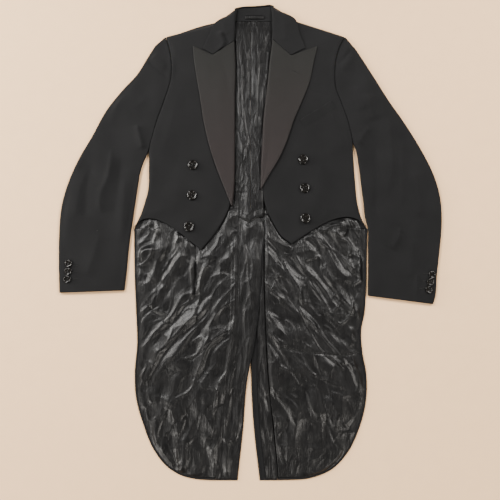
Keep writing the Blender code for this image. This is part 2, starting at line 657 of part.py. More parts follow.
def seat_height(tree, centre, diameter):
    """Highest point of the cloth under a round piece."""
    spots = [(0, 0)] + [(math.cos(a), math.sin(a)) for a in np.linspace(0, 2 * math.pi, 12, endpoint=False)]
    return max(top_at(tree, centre[0] + c * diameter * 0.45, centre[1] + s * diameter * 0.45) for c, s in spots)


def sleeve(side):
    """Top sleeve: from the armhole seam to the cuff, its edges rolled under to meet the under sleeve."""
    cap = moved_aside(ARM[side], OUTWARD[side] * SEAM * 2.5)
    cap_length = lengths(cap)[-1]
    places = np.linspace(0, 1, 18)
    turns = np.radians([-90, -30, 30, 90])
    shares = np.linspace(0, 1, 8)[1:-1]

    def section(plan_at, length, crown, edge):
        inset = EDGE_RADIUS * (1 - np.cos(turns))
        rolled = edge / 2 * (1 + np.sin(turns))
        near = np.concatenate([[UNDER_WRAP], inset])
        level = np.concatenate([[0.0], rolled])
        middle = EDGE_RADIUS + (length - 2 * EDGE_RADIUS) * shares
        away = np.concatenate([near, middle, length - near[::-1]])
        swell = edge + (crown - edge) * np.sin(math.pi * shares) ** 0.7
        plan = plan_at(away / length)
        high = np.concatenate([level, swell, level[::-1]])
        fold = folds(plan[:, 0], plan[:, 1], SLEEVE_FOLDS[side])
        fold[: len(near)] = 0
        fold[-len(near) :] = 0
        return np.column_stack([plan, high + fold * smooth(np.minimum(away, length - away) / 14.0)])

    rows = [section(lambda s: along(cap, s), cap_length, CAP_FACE, 7.8)]
    for row in spline(SLEEVE_ROWS[side], places):
        outer, inner = row[0:2], row[2:4]
        length = np.linalg.norm(inner - outer)
        swing = CAP_SWING * max(0.0, 1 - (len(rows) - 1) / 6) ** 2 * -OUTWARD[side]

        def plan_at(s, outer=outer, inner=inner, swing=swing):
            points = outer[None] + (inner - outer)[None] * s[:, None]
            points[:, 0] += swing * np.sin(math.pi * s**0.8)
            return points

        rows.append(section(plan_at, length, row[4], row[5]))
    ends = [row[0][:2] for row in rows], [row[-1][:2] for row in rows]
    return wall(f"top_sleeve_{side}", rows, SLEEVE, WOOL), cap, ends


def under_sleeve(side, cap, ends):
    """Under sleeve: flat on the floor between the rolled edges of the top sleeve."""
    outer, inner = (np.asarray(points) for points in ends)
    across = inner - outer
    across = across / np.linalg.norm(across, axis=1)[:, None]
    outer = outer + across * (SEAM + 0.1)
    inner = inner - across * (SEAM + 0.1)
    tuck = (UNDER_WRAP + SEAM + 0.1) / lengths(cap)[-1]
    head = along(cap, np.linspace(tuck, 1 - tuck, 14))
    outline = np.concatenate([head, inner[1:], outer[::-1][:-1]])
    return flat_panel(f"under_sleeve_{side}", outline, SLEEVE, WOOL)


def breast_welt(tree):
    """Welt of the breast pocket, a strip laid on the left forepart."""
    start, end, depth, thickness = WELT
    start, end = np.asarray(start, float), np.asarray(end, float)
    run = (end - start) / np.linalg.norm(end - start)
    down = np.array([run[1], -run[0]])
    rows = []
    for place in np.linspace(0, 1, 9):
        line = []
        for share in (0.0, 0.5, 1.0):
            x, y = start + (end - start) * place + down * depth * share
            line.append((x, y, front_face("left", x, y) + LAYER + 0.25 + thickness))
        rows.append(line)
    return wall("breast_welt", rows, thickness, WOOL)


def hanger_loop():
    """Hanger loop: a short band over the foot of the collar stand."""
    start, end, low, high, thickness = LOOP
    rows = []
    for place in np.linspace(0, 1, 7):
        x = start + (end - start) * place
        arch = STAND_PROFILE[0][1] + LAYER + 0.1 + thickness + 0.8 * math.sin(math.pi * place)
        rows.append([(x, low, arch), (x, high, arch + 0.5)])
    return wall("hanger_loop", rows, thickness, SATIN)


clear_scene()
COAT = bpy.data.collections.new("tailcoat")
bpy.context.scene.collection.children.link(COAT)

for side in SIDES:
    panel, back_edge, turn = back(side)
    _, waist = side_body(side, back_edge, turn)
    tail(side, back_edge, waist)
    under = surface_of(panel)
    back_lining(side, under)
    tail_lining(side, back_edge)
    strip_lining(side, back_edge, under)
    front = forepart(side, under)
    folded_leaf(f"lapel_{side}", side, LAPEL[side], 0.5, 6, 17, FAILLE, FACED)
    folded_leaf(f"collar_{side}", side, COLLAR_LEAF[side], 2 / 3, 6, 8, WOOL, FACED)
    arm_piece, cap, ends = sleeve(side)
    under_sleeve(side, cap, ends)
    tree = surface_of(front)
    for n, centre in enumerate(FRONT_BUTTONS[side], 1):
        seat = seat_height(tree, centre, FRONT_BUTTON[0])
        turned_button(f"front_button_{side}_{n}", centre, *FRONT_BUTTON, 12, seat)
    if side == "left":
        breast_welt(tree)
    tree = surface_of(arm_piece)
    for n, centre in enumerate(CUFF_BUTTONS[side], 1):
        seat = seat_height(tree, centre, CUFF_BUTTON[0])
        turned_button(f"cuff_button_{side}_{n}", centre, *CUFF_BUTTON, 10, seat)
collar_back()
collar_stand()
hanger_loop()
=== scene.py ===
import math

import bpy
import numpy as np
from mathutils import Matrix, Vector
from mathutils.bvhtree import BVHTree


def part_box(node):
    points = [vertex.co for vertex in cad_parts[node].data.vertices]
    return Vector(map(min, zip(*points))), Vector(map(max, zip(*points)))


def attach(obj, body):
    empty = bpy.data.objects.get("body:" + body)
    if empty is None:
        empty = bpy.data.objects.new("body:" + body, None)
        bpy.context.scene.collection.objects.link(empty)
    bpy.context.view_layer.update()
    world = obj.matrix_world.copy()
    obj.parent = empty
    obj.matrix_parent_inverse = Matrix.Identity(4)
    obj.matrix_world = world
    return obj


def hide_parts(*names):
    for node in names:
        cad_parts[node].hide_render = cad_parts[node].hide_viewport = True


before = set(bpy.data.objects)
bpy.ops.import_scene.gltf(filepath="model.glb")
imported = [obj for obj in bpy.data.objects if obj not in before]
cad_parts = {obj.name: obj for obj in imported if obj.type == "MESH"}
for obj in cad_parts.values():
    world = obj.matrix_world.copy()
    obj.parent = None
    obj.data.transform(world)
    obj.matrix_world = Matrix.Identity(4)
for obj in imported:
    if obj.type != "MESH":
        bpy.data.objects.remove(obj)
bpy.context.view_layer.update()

# Camera: it stands over the coat as the photographer did, who held it above the waist of the coat
# and leaned it a little towards the collar.
LEAN = math.radians(8.0)
AIM = Vector((-0.00192, -0.04827, 0.0))
DISTANCE = 1.06

lens = bpy.data.cameras.new("camera")
lens.lens = 36.0
lens.sensor_width = 36.0
camera = bpy.data.objects.new("camera", lens)
camera.rotation_euler = (LEAN, 0.0, 0.0)
camera.location = AIM + DISTANCE * Vector((0.0, -math.sin(LEAN), math.cos(LEAN)))
bpy.context.collection.objects.link(camera)
bpy.context.scene.camera = camera


# Floor: a plain pale surface that the coat is laid out on. It is no part of the coat.
FLOOR_SIZE = 8.0
FLOOR_COLOUR = (0.6, 0.385, 0.21)


class Field:
    """A value that changes over a surface. Arithmetic on it adds the nodes that work it out."""

    def __init__(self, finish, socket):
        self.finish, self.socket = finish, socket

    def maths(self, operation, *values):
        return self.finish.node("ShaderNodeMath", {"operation": operation}, dict(enumerate(values)))

    def __add__(self, other):
        return self.maths("ADD", self, other)

    def __sub__(self, other):
        return self.maths("SUBTRACT", self, other)

    def __rsub__(self, other):
        return self.maths("SUBTRACT", other, self)

    def __mul__(self, other):
        return self.maths("MULTIPLY", self, other)

    __radd__, __rmul__ = __add__, __mul__

    def over(self, low, high):
        """0 below low, 1 above high and even between them."""
        return self.finish.node(
            "ShaderNodeMapRange", {"clamp": True}, {"Value": self, "From Min": low, "From Max": high}
        )


class Finish:
    """The finish of one material: what is the same all over it, and the nodes of what changes."""

    def __init__(self, name, **even):
        self.material = bpy.data.materials.new(name)
        self.material.use_nodes = True
        self.tree = self.material.node_tree
        self.shader = self.tree.nodes["Principled BSDF"]
        for socket, value in even.items():
            self.shader.inputs[socket.replace("_", " ")].default_value = value
        self.place = self.node("ShaderNodeTexCoord", output="Object")

    def node(self, kind, settings=None, values=None, output=0):
        made = self.tree.nodes.new(kind)
        for name, value in (settings or {}).items():
            setattr(made, name, value)
        for name, value in (values or {}).items():
            if isinstance(value, Field):
                self.tree.links.new(value.socket, made.inputs[name])
            else:
                made.inputs[name].default_value = value
        return Field(self, made.outputs[output])

    def feed(self, **fields):
        for socket, field in fields.items():
            self.tree.links.new(field.socket, self.shader.inputs[socket.replace("_", " ")])

    def stretched(self, scale, turn=0.0):
        """The place on the coat, turned about the upright and scaled along each axis."""
        turned = self.node("ShaderNodeVectorRotate", {"rotation_type": "Z_AXIS"}, {"Vector": self.place, "Angle": turn})
        return self.node("ShaderNodeVectorMath", {"operation": "MULTIPLY"}, {0: turned, 1: scale})

    def noise(self, size, detail=2.0, rough=0.5, place=None):
        """Cloudy noise with patches of about this size, in metres."""
        values = {"Vector": place or self.place, "Scale": 1.0 / size, "Detail": detail, "Roughness": rough}
        return self.node("ShaderNodeTexNoise", {"normalize": True}, values)

    def blend(self, share, first, second):
        """A colour that goes from the first to the second."""
        values = {0: share, 6: first if isinstance(first, Field) else (*first, 1.0), 7: (*second, 1.0)}
        return self.node("ShaderNodeMix", {"data_type": "RGBA"}, values, output=2)

    def bump(self, height, depth, strength=1.0, under=None):
        values = {"Height": height, "Distance": depth, "Strength": strength}
        if under:
            values["Normal"] = under
        return self.node("ShaderNodeBump", {}, values)


stone = Finish("floor_stone", Roughness=0.9)
stone.feed(Base_Color=stone.blend(stone.noise(0.03, 4.0).over(0.25, 0.75), FLOOR_COLOUR, [c * 0.965 for c in FLOOR_COLOUR]))

half = FLOOR_SIZE / 2
floor_mesh = bpy.data.meshes.new("floor")
floor_mesh.from_pydata([(-half, -half, 0), (half, -half, 0), (half, half, 0), (-half, half, 0)], [], [(0, 1, 2, 3)])
floor_mesh.materials.append(stone.material)
floor = bpy.data.objects.new("floor", floor_mesh)
floor.location.z = -0.0002
bpy.context.collection.objects.link(floor)


# Light: four soft boxes on the diagonals, the strongest at the upper left, a low window at the left that rakes
# over the cloth, and a dim even light from all round.
LAMPS = {
    "far_left_box": ((-1.25, 1.05, 1.7), 0.8, 98.0, (1.0, 0.985, 0.96)),
    "far_right_box": ((1.3, 1.1, 1.6), 0.7, 90.0, (1.0, 0.97, 0.93)),
    "near_left_box": ((-1.7, -1.6, 1.7), 0.8, 86.0, (1.0, 0.96, 0.9)),
    "near_right_box": ((1.7, -1.6, 1.7), 0.8, 78.0, (1.0, 0.95, 0.88)),
    "low_window": ((-2.4, 0.7, 0.75), 0.9, 125.0, (1.0, 0.97, 0.92)),
}
ROOM_LIGHT = (0.95, 0.96, 1.0)
ROOM_STRENGTH = 0.1

for name, (place, size, power, colour) in LAMPS.items():
    lamp = bpy.data.lights.new(name, "AREA")
    lamp.shape = "SQUARE"
    lamp.size = size
    lamp.energy = power
    lamp.color = colour
    stand = bpy.data.objects.new(name, lamp)
    stand.location = place
    stand.rotation_euler = (-Vector(place)).to_track_quat("-Z", "Y").to_euler()
    bpy.context.collection.objects.link(stand)
world = bpy.data.worlds.new("room")
world.use_nodes = True
world.node_tree.nodes["Background"].inputs["Color"].default_value = (*ROOM_LIGHT, 1.0)
world.node_tree.nodes["Background"].inputs["Strength"].default_value = ROOM_STRENGTH
bpy.context.scene.world = world


# Shell at the back: two back pieces in one length from neck to hem, a side body and a tail on each side,
# cut from black worsted wool. It lies face down on the floor, and its edges are turned in as a narrow hem.
# All tables are in millimetres; "right" is the wearer's right, which is at -X.
MM = 0.001
PLAN_SHIFT = (-0.75, -3.0)
SIDES = ("right", "left")
OUTWARD = {"right": -1.0, "left": 1.0}
SHELL = 1.5
SEAM = 0.3
HEM_ROLL = 1.5
ARMHOLE = {
    "right": [(-190, 437), (-181, 408), (-175, 370), (-176, 335), (-188, 290), (-207, 230), (-221, 172)],
    "left": [(212, 437), (200, 415), (190, 383), (186, 345), (188, 312), (197, 286), (211, 243), (222, 192)],
}
SIDE_SEAM = {
    "right": [(-221, 172), (-220, 125), (-220, 88), (-227, 55), (-236, 26), (-247, 0)],
    "left": [(222, 192), (224, 140), (226, 93), (229, 55), (236, 24), (248, -5)],
}
BACK_SEAM = {
    "right": [(-150, 272), (-112, 185), (-72, 98), (-38, 42), (-27, 16), (-26, -50), (-26, -107), (-30, -213),
              (-46, -313), (-63, -432), (-70, -508)],
    "left": [(160, 262), (118, 180), (76, 95), (42, 42), (29, 18), (27, -50), (27, -107), (29, -190),
             (35, -313), (47, -430), (54, -508)],
}
CENTRE_BACK = {
    "right": [(0, 469), (0, 360), (0, 250), (0, 150), (0, 60), (1, 41), (24, 20), (26, -60), (22, -120), (15, -192),
              (6, -250), (-1, -285), (-6, -311), (-15, -411), (-26, -508)],
    "left": [(0, 469), (0, 360), (0, 250), (0, 150), (0, 60), (1, 20), (1, -60), (1, -120), (1, -192),
             (1, -250), (1, -285), (1, -311), (5, -391), (18, -508)],
}
TAIL_EDGE = {
    "right": [(-248, -2), (-246, -50), (-243, -110), (-238, -178), (-234, -240), (-237, -300), (-233, -348),
              (-218, -397), (-192, -453), (-167, -482), (-140, -498), (-105, -506), (-71, -508)],
    "left": [(248, -7), (245, -60), (242, -122), (237, -178), (229, -214), (230, -255), (237, -304), (235, -351),
             (218, -411), (194, -456), (164, -486), (122, -503), (55, -508)],
}
NECK_RISE = 17.0
NECK_LIFT = 2.1
FLAP_LIFT = 4.2


def smooth(value):
    value = np.clip(value, 0.0, 1.0)
    return value * value * (3.0 - 2.0 * value)


def quarter_round(value):
    value = np.clip(value, 0.0, 1.0)
    return np.sqrt(1.0 - (1.0 - value) ** 2)


def lengths(points):
    points = np.asarray(points, float)
    return np.concatenate([[0.0], np.cumsum(np.linalg.norm(np.diff(points, axis=0), axis=1))])


def spline(table, places):
    """A smooth curve through every column of a table, at places given from 0 to 1 along its rows."""
    rows = np.asarray(table, float)
    knots = lengths(rows[:, :2])
    if rows.shape[1] >= 4:
        knots = (knots + lengths(rows[:, 2:4])) / 2
    knots = knots / knots[-1]
    gaps = np.diff(knots)
    slopes = np.diff(rows, axis=0) / gaps[:, None]
    tangents = np.empty_like(rows)
    tangents[0], tangents[-1] = slopes[0], slopes[-1]
    share = (gaps[:-1] / (gaps[:-1] + gaps[1:]))[:, None]
    tangents[1:-1] = slopes[:-1] * (1 - share) + slopes[1:] * share
    places = np.clip(places, 0.0, 1.0)
    i = np.clip(np.searchsorted(knots, places, side="right") - 1, 0, len(rows) - 2)
    u = ((places - knots[i]) / gaps[i])[:, None]
    h = gaps[i][:, None]
    return (
        (2 * u**3 - 3 * u**2 + 1) * rows[i] + (u**3 - 2 * u**2 + u) * h * tangents[i]
        + (3 * u**2 - 2 * u**3) * rows[i + 1] + (u**3 - u**2) * h * tangents[i + 1]
    )


def chain(table, step=5.0):
    """The smooth curve through a table as a polyline with even steps."""
    count = max(2, round(lengths(table)[-1] / step))
    return spline(table, np.linspace(0, 1, count + 1))


def along(polyline, places):
    """Points on a polyline at places from 0 to 1 of its length."""
    at = lengths(polyline)
    at = at / at[-1]
    return np.stack([np.interp(places, at, polyline[:, k]) for k in range(2)], axis=1)


def moved_aside(polyline, distance):
    """A polyline moved to the left of its own direction, or to the right by a negative distance."""
    ahead = np.gradient(polyline, axis=0)
    ahead = ahead / np.linalg.norm(ahead, axis=1)[:, None]
    return polyline + distance * np.stack([-ahead[:, 1], ahead[:, 0]], axis=1)


def x_at(polyline, y):
    """x of a polyline that climbs or falls all the way, at a height y in the plan."""
    polyline = np.asarray(polyline, float)
    order = np.argsort(polyline[:, 1])
    return np.interp(y, polyline[order, 1], polyline[order, 0])


def nearest(x, y, line):
    """Signed distance from a line, and how far along the line its nearest point is."""
    line = np.asarray(line, float)
    reach = lengths(line)
    best = np.full(np.shape(x), 1e9)
    place = np.zeros(np.shape(x))
    side = np.ones(np.shape(x))
    for start, run, begun in zip(line[:-1], np.diff(line, axis=0), reach[:-1]):
        dx, dy = x - start[0], y - start[1]
        share = np.clip((dx * run[0] + dy * run[1]) / (run @ run), 0, 1)
        away = np.hypot(dx - share * run[0], dy - share * run[1])
        closer = away < best
        place = np.where(closer, begun + share * math.hypot(*run), place)
        side = np.where(closer, np.sign(run[0] * dy - run[1] * dx), side)
        best = np.minimum(best, away)
    return best * side, place


def packed(count, ends):
    """Shares from 0 to 1 that crowd together near both ends, in steps of the millimetres given over a length of 1."""
    ends = np.asarray(ends, float)
    inner = np.linspace(ends[-1], 1 - ends[-1], count)
    return np.concatenate([ends[:-1], inner, (1 - ends[:-1])[::-1]])


def neck_lift(x, y):
    """How far the back's neck is held up by the collar leaf that lies under it."""
    away = np.hypot((x - 9.0) / 1.3, y - 492.0)
    return NECK_LIFT * smooth((84.0 - away) / 38.0)


def flap_lift(x, y):
    """How far the right back is held up where its vent flap lies over the left back."""
    under = x_at(CENTRE_BACK["left"], y)
    return FLAP_LIFT * smooth((x - under + 25.0) / 22.0) * smooth((150.0 - y) / 96.0) * smooth((y + 375.0) / 90.0)


def back_lift(side, x, y):
    return neck_lift(x, y) + (flap_lift(x, y) if side == "right" else 0.0)


def worsted(name, dark=(0.0033, 0.0033, 0.0035), pale=(0.0051, 0.0051, 0.0054)):
    """Black worsted: a fine twill with a soft nap, a little lint and no gloss."""
    wool = Finish(name, Roughness=0.88, Sheen_Weight=0.06, Sheen_Roughness=0.45, Specular_IOR_Level=0.1)
    wool.shader.inputs["Sheen Tint"].default_value = (0.62, 0.63, 0.66, 1.0)
    cloud = wool.noise(0.06, 3.0, 0.6)
    grain = wool.noise(0.0016, 2.0, 0.7)
    colour = wool.blend((cloud * 0.6 + grain * 0.4).over(0.3, 0.7), dark, pale)
    fluff = wool.node("ShaderNodeTexVoronoi", {}, {"Vector": wool.place, "Scale": 30.0, "Randomness": 1.0})
    chance = wool.noise(0.045, 0.0)
    lint = (1.0 - fluff.over(0.012, 0.03)) * chance.over(0.62, 0.64)
    wool.feed(Base_Color=wool.blend(lint * 0.35, colour, (0.16, 0.16, 0.155)))
    twill = wool.node(
        "ShaderNodeTexWave", {"bands_direction": "DIAGONAL"},
        {"Vector": wool.place, "Scale": 760.0, "Distortion": 1.2, "Detail": 1.0, "Detail Scale": 1.5},
    )
    wool.feed(Normal=wool.bump(twill * 0.5 + grain, 0.00025, 0.55))
    return wool.material


WORSTED = worsted("worsted_wool")


def cloth(name, grid, thickness, paint, upward=False):
    """A thin wall of cloth: a grid of points in millimetres, rows by columns, with its thickness below it."""
    grid = (np.asarray(grid, float) + np.array([*PLAN_SHIFT, 0.0])) * MM
    rows, columns = grid.shape[:2]
    points = grid.reshape(-1, 3)
    corner = np.arange(rows * columns).reshape(rows, columns)
    faces = np.stack([corner[:-1, :-1], corner[:-1, 1:], corner[1:, 1:], corner[1:, :-1]], axis=-1).reshape(-1, 4)
    a, b, c, d = (points[faces[:, k]] for k in range(4))
    if np.cross(c - a, d - b)[:, 2].sum() < 0:
        faces = faces[:, ::-1]
    sheet = bpy.data.meshes.new(name + "_face")
    sheet.from_pydata(points.tolist(), [], faces.tolist())
    sheet.materials.append(paint)
    piece = bpy.data.objects.new(name, sheet)
    bpy.context.collection.objects.link(piece)
    wall = piece.modifiers.new("thickness", "SOLIDIFY")
    wall.thickness = thickness * MM
    wall.offset = 1.0 if upward else -1.0
    bpy.context.view_layer.update()
    thick = bpy.data.meshes.new_from_object(piece.evaluated_get(bpy.context.evaluated_depsgraph_get()))
    for vertex in thick.vertices:
        vertex.co.z = max(vertex.co.z, 0.0)
    thick.shade_smooth()
    thick.set_sharp_from_angle(angle=math.radians(52.0))
    thick.name = name
    piece.modifiers.clear()
    piece.data = thick
    bpy.data.meshes.remove(sheet)
    return piece


def lay(piece, node):
    """The piece stands for its CAD node: it is hung on the root body, and the CAD node is hidden."""
    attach(piece, "root")
    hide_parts(node)


def turned_edge(away, face, width=4.6):
    """Height of a flat piece near an edge that is turned in: a soft welt that rounds down to the floor."""
    welt = HEM_ROLL * smooth((width + 0.8 - away) / 1.4)
    return (face + welt) * (0.42 + 0.58 * quarter_round(away / 1.9))


ARM = {side: chain(ARMHOLE[side]) for side in SIDES}
FLANK = {side: np.concatenate([chain(SIDE_SEAM[side])[::-1], ARM[side][::-1][1:]]) for side in SIDES}
SKIRT_EDGE = {side: chain(TAIL_EDGE[side], 4.0) for side in SIDES}
CUT = {}
for side in SIDES:
    outward = OUTWARD[side]
    upper = ARM[side][: int(np.argmin(abs(ARM[side][:, 1] - 332.0))) + 1]
    seam = chain([tuple(upper[-1]), *BACK_SEAM[side]], 6.0)
    outer = moved_aside(np.concatenate([upper, seam[1:]]), -outward * SEAM / 2)
    CUT[side] = outer
    centre = chain(CENTRE_BACK[side], 2.0)
    centre[:, 0] += outward * SEAM / 2
    places = np.concatenate([np.linspace(0, 0.985, 170), np.linspace(0.988, 1, 8)])
    start, end = along(outer, places), along(centre, places)
    shares = np.concatenate([np.linspace(0, 0.93, 16), [0.96, 0.98, 1.0]])
    rows = start[:, None] + (end - start)[:, None] * shares[None, :, None]
    rows[..., 1] += NECK_RISE * np.clip(1 - places[:, None] / 0.06, 0, 1) ** 2 * np.sin(math.pi * shares**1.25)
    x, y = rows[..., 0], rows[..., 1]
    free = np.minimum(abs(nearest(x, y, centre[centre[:, 1] < 20.0])[0]), y + 508.0)
    high = np.where(y < 40, turned_edge(free, SHELL, 3.0), SHELL) + back_lift(side, x, y)
    lay(cloth(f"back_cloth_{side}", np.dstack([x, y, high]), SHELL, WORSTED), f"back_{side}")

    turn = len(upper) - 1
    waist = int(np.argmin(abs(outer[:, 1] - 16.0)))
    seam = moved_aside(outer[turn : waist + 1], outward * SEAM)
    arm = ARM[side][turn + 1 :]
    flank = np.concatenate([arm, chain(SIDE_SEAM[side])[1:]])
    places = np.linspace(0, 1, 60)
    start, end = along(flank, places), along(seam, places)
    rows = start[:, None] + (end - start)[:, None] * np.linspace(0, 1, 14)[None, :, None]
    lay(cloth(f"side_body_cloth_{side}", np.dstack([rows, np.full(rows.shape[:2], SHELL)]), SHELL, WORSTED),
        f"side_body_{side}")

    seam = moved_aside(outer[waist:], outward * SEAM)
    levels = np.concatenate([np.linspace(0, -470, 110), np.linspace(-474, -498, 12), np.linspace(-499.5, -507.4, 9)])
    shares = np.concatenate([[0, 0.003, 0.007, 0.012, 0.018, 0.025, 0.035], np.linspace(0.05, 1, 28)])
    depth = levels[:, None]
    x = x_at(SKIRT_EDGE[side], depth) * (1 - shares) + x_at(seam, depth) * shares
    rise = np.interp(shares, [0, 0.5, 1], [0, 12.0, 15.6]) * (1 + levels[:, None] / 508.0) ** 3
    y = depth + rise
    away = abs(nearest(x, y, SKIRT_EDGE[side])[0])
    lay(cloth(f"tail_cloth_{side}", np.dstack([x, y, turned_edge(away, SHELL)]), SHELL, WORSTED), f"tail_{side}")


# Tail linings: black satin felled to the turned hems. It is cut looser than the wool, so it lies puckered
# and crossed by sharp folds, with a flat seam across and a stitched seam beside the strip.
LAYER = 0.3
LINING = 1.0
LINING_FACE = SHELL + LAYER + LINING
TAIL_BORDER = 4.5
HEM_RISE = {"right": 34.0, "left": 38.0}
FRONT_EDGE = {
    "right": [(-104, -46), (-78, -14), (-58, 17), (-45, 47), (-40.5, 84), (-39.5, 130), (-39.5, 185), (-39.5, 241),
              (-39.5, 300), (-38.5, 350), (-40.5, 395), (-45, 432), (-60, 474)],
    "left": [(87, -33), (66, -17), (48, 12), (34, 42), (26.5, 85), (27.5, 120), (29, 155), (33.5, 241),
             (38.5, 288), (44, 330), (48, 370), (57, 428), (86, 481)],
}
# Each fold: half width, height (a trough where negative), lean of its steep side, then the line of its crest
TAIL_CREASES = {
    "right": [
        (4.0, 3.6, 0.3, (-199, 10), (-196, -3), (-202, -18), (-206, -37), (-210, -57), (-224, -74), (-241, -82)),
        (3.4, 2.2, 0.0, (-234, -10), (-222, 6), (-207, 12)),
        (3.2, 2.6, 0.0, (-219, -93), (-206, -107), (-200, -124), (-199, -143), (-205, -157)),
        (3.0, 2.0, 0.0, (-219, -93), (-223, -107), (-220, -122)),
        (3.6, -3.0, 0.0, (-218, -151), (-202, -176), (-185, -186), (-173, -200), (-166, -211)),
        (3.4, 2.8, 0.0, (-194, -176), (-175, -178), (-167, -192), (-162, -211), (-166, -227), (-174, -245)),
        (4.0, 4.0, -0.2, (-77, -48), (-85, -67), (-98, -88), (-104, -107), (-106, -122), (-105, -143), (-111, -163),
         (-117, -182), (-131, -196), (-148, -215), (-162, -231), (-174, -249), (-186, -259), (-195, -283)),
        (3.6, 3.8, 0.5, (-130, -33), (-124, -52), (-123, -78), (-124, -99), (-122, -125), (-126, -150), (-142, -163),
         (-153, -178)),
        (2.8, -6.5, 0.0, (-117, -30), (-115, -107), (-118, -152)),
        (6.5, -4.2, 0.0, (-78, -132), (-97, -150), (-110, -175), (-113, -200), (-102, -214)),
        (3.2, 3.2, 0.0, (-126, -249), (-116, -235), (-102, -227), (-97, -235), (-102, -249), (-112, -263),
         (-126, -269), (-144, -271)),
        (3.0, 2.6, 0.0, (-88, -207), (-85, -217), (-92, -238), (-98, -255)),
        (3.4, 3.4, 0.2, (-100, -273), (-107, -293), (-113, -311), (-119, -327), (-129, -338), (-149, -348),
         (-161, -356)),
        (5.0, 3.0, 0.0, (-158, -366), (-156, -384), (-150, -398)), (3.0, -2.2, 0.0, (-140, -396), (-130, -380)),
        (3.4, 3.0, 0.0, (-148, -405), (-145, -422), (-147, -438), (-144, -455), (-145, -478)),
        (3.4, 3.0, 0.3, (-66, -314), (-69, -338), (-71, -362), (-78, -385), (-78, -405), (-81, -428)),
        (3.2, 2.6, 0.0, (-45, -293), (-59, -311), (-64, -324)),
        (3.0, 2.2, 0.0, (-222, -265), (-214, -276), (-221, -303), (-227, -317)),
        (3.0, 2.4, 0.0, (-211, -273), (-197, -283), (-192, -269), (-194, -255)),
        (8.0, 2.6, 0.0, (-168, -52), (-178, -84), (-184, -118)),
        (9.0, 3.0, 0.0, (-150, -30), (-148, -80), (-150, -120)),
        (10.0, -3.0, 0.0, (-190, -60), (-168, -110), (-176, -150)),
        (9.0, 3.0, 0.0, (-190, -205), (-170, -232), (-196, -262)),
        (11.0, -3.4, 0.0, (-235, -330), (-190, -320), (-140, -290)),
        (10.0, 2.8, 0.0, (-200, -345), (-172, -352), (-150, -368)),
        (9.0, -2.8, 0.0, (-178, -436), (-160, -418), (-156, -448)),
        (10.0, 2.6, 0.0, (-104, -410), (-112, -450), (-108, -490)),
        (9.0, 2.4, 0.0, (-88, -290), (-96, -330), (-96, -362)),
        (9.0, -2.4, 0.0, (-86, -440), (-92, -470), (-88, -498)),
        (8.0, 2.8, 0.0, (-64, -62), (-62, -100), (-58, -130)),
        (8.0, 2.6, 0.0, (-60, -150), (-74, -180), (-72, -205)),
    ],
    "left": [
        (4.2, 5.0, 0.4, (38, -74), (52, -93), (64, -125), (82, -143), (96, -164), (114, -186), (128, -200),
         (145, -221), (165, -245), (183, -263), (203, -279)),
        (4.6, -4.4, 0.0, (50, -100), (64, -118), (86, -150), (103, -178), (112, -200), (127, -228), (148, -259),
         (175, -283), (202, -311), (230, -341)),
        (3.2, 3.2, 0.0, (96, -200), (116, -245), (130, -252)),
        (3.6, 4.0, 0.2, (124, -210), (145, -249), (176, -276), (203, -303)),
        (3.6, 3.8, 0.2, (61, -49), (68, -67), (77, -89), (93, -114), (102, -132), (107, -157), (110, -168)),
        (3.6, 3.6, 0.3, (87, -49), (101, -71), (111, -93), (122, -114), (136, -136), (150, -157), (157, -172)),
        (9.0, -5.0, 0.0, (112, -112), (118, -128), (132, -164), (156, -192), (177, -221), (190, -249)),
        (3.6, 3.8, 0.0, (122, -100), (140, -132), (157, -161), (164, -178), (178, -196)),
        (3.4, 3.4, 0.2, (138, -16), (156, -37), (181, -49), (195, -63), (209, -82), (216, -107)),
        (3.2, 3.2, 0.0, (153, -8), (175, 7), (193, 7), (202, -8), (193, -16), (175, -5)),
        (3.2, 3.0, 0.0, (182, -23), (204, -27), (210, -45), (206, -63), (213, -85), (227, -100)),
        (3.0, 2.8, 0.0, (211, 3), (226, -8), (236, -27), (236, -49)),
        (2.8, 2.8, 0.0, (229, -16), (232, -34), (224, -52), (234, -71), (227, -89), (230, -107), (215, -121),
         (222, -143), (207, -164)),
        (3.0, 2.8, 0.0, (164, -153), (179, -139), (186, -157), (171, -178), (185, -200), (199, -192), (211, -164),
         (207, -136), (194, -107)),
        (3.0, -3.0, 0.0, (220, -207), (223, -224), (215, -242), (212, -255)),
        (2.8, 2.4, 0.0, (43, -100), (50, -118), (43, -132), (57, -143), (68, -150), (60, -161)),
        (3.0, 2.6, 0.0, (39, -178), (60, -189), (82, -200), (92, -221), (95, -242)),
        (3.0, 2.4, 0.0, (42, -214), (60, -235), (70, -238)),
        (3.6, 2.8, 0.0, (56, -255), (59, -283), (84, -297), (108, -331)),
        (3.6, 3.0, 0.2, (102, -273), (126, -300), (164, -317), (188, -331)),
        (3.4, 2.4, 0.0, (76, -338), (94, -351), (102, -382)),
        (4.0, 2.8, 0.0, (188, -335), (184, -365), (187, -395), (204, -415)),
        (6.0, 2.0, 0.0, (62, -380), (74, -425), (72, -480)),
        (6.0, 2.0, 0.0, (113, -411), (116, -451), (126, -484)),
        (7.0, 2.2, 0.0, (208, -205), (207, -225), (206, -250)),
        (8.0, 2.4, 0.0, (150, -78), (166, -104), (172, -124)),
        (9.0, -2.8, 0.0, (120, -60), (150, -96), (160, -128)),
        (10.0, 2.6, 0.0, (150, -345), (176, -372), (170, -410)),
        (12.0, -2.6, 0.0, (96, -300), (130, -330), (168, -350)),
        (12.0, -2.4, 0.0, (214, -330), (222, -372), (196, -420)),
        (9.0, 2.6, 0.0, (56, -70), (60, -96), (50, -110)),
    ],
}
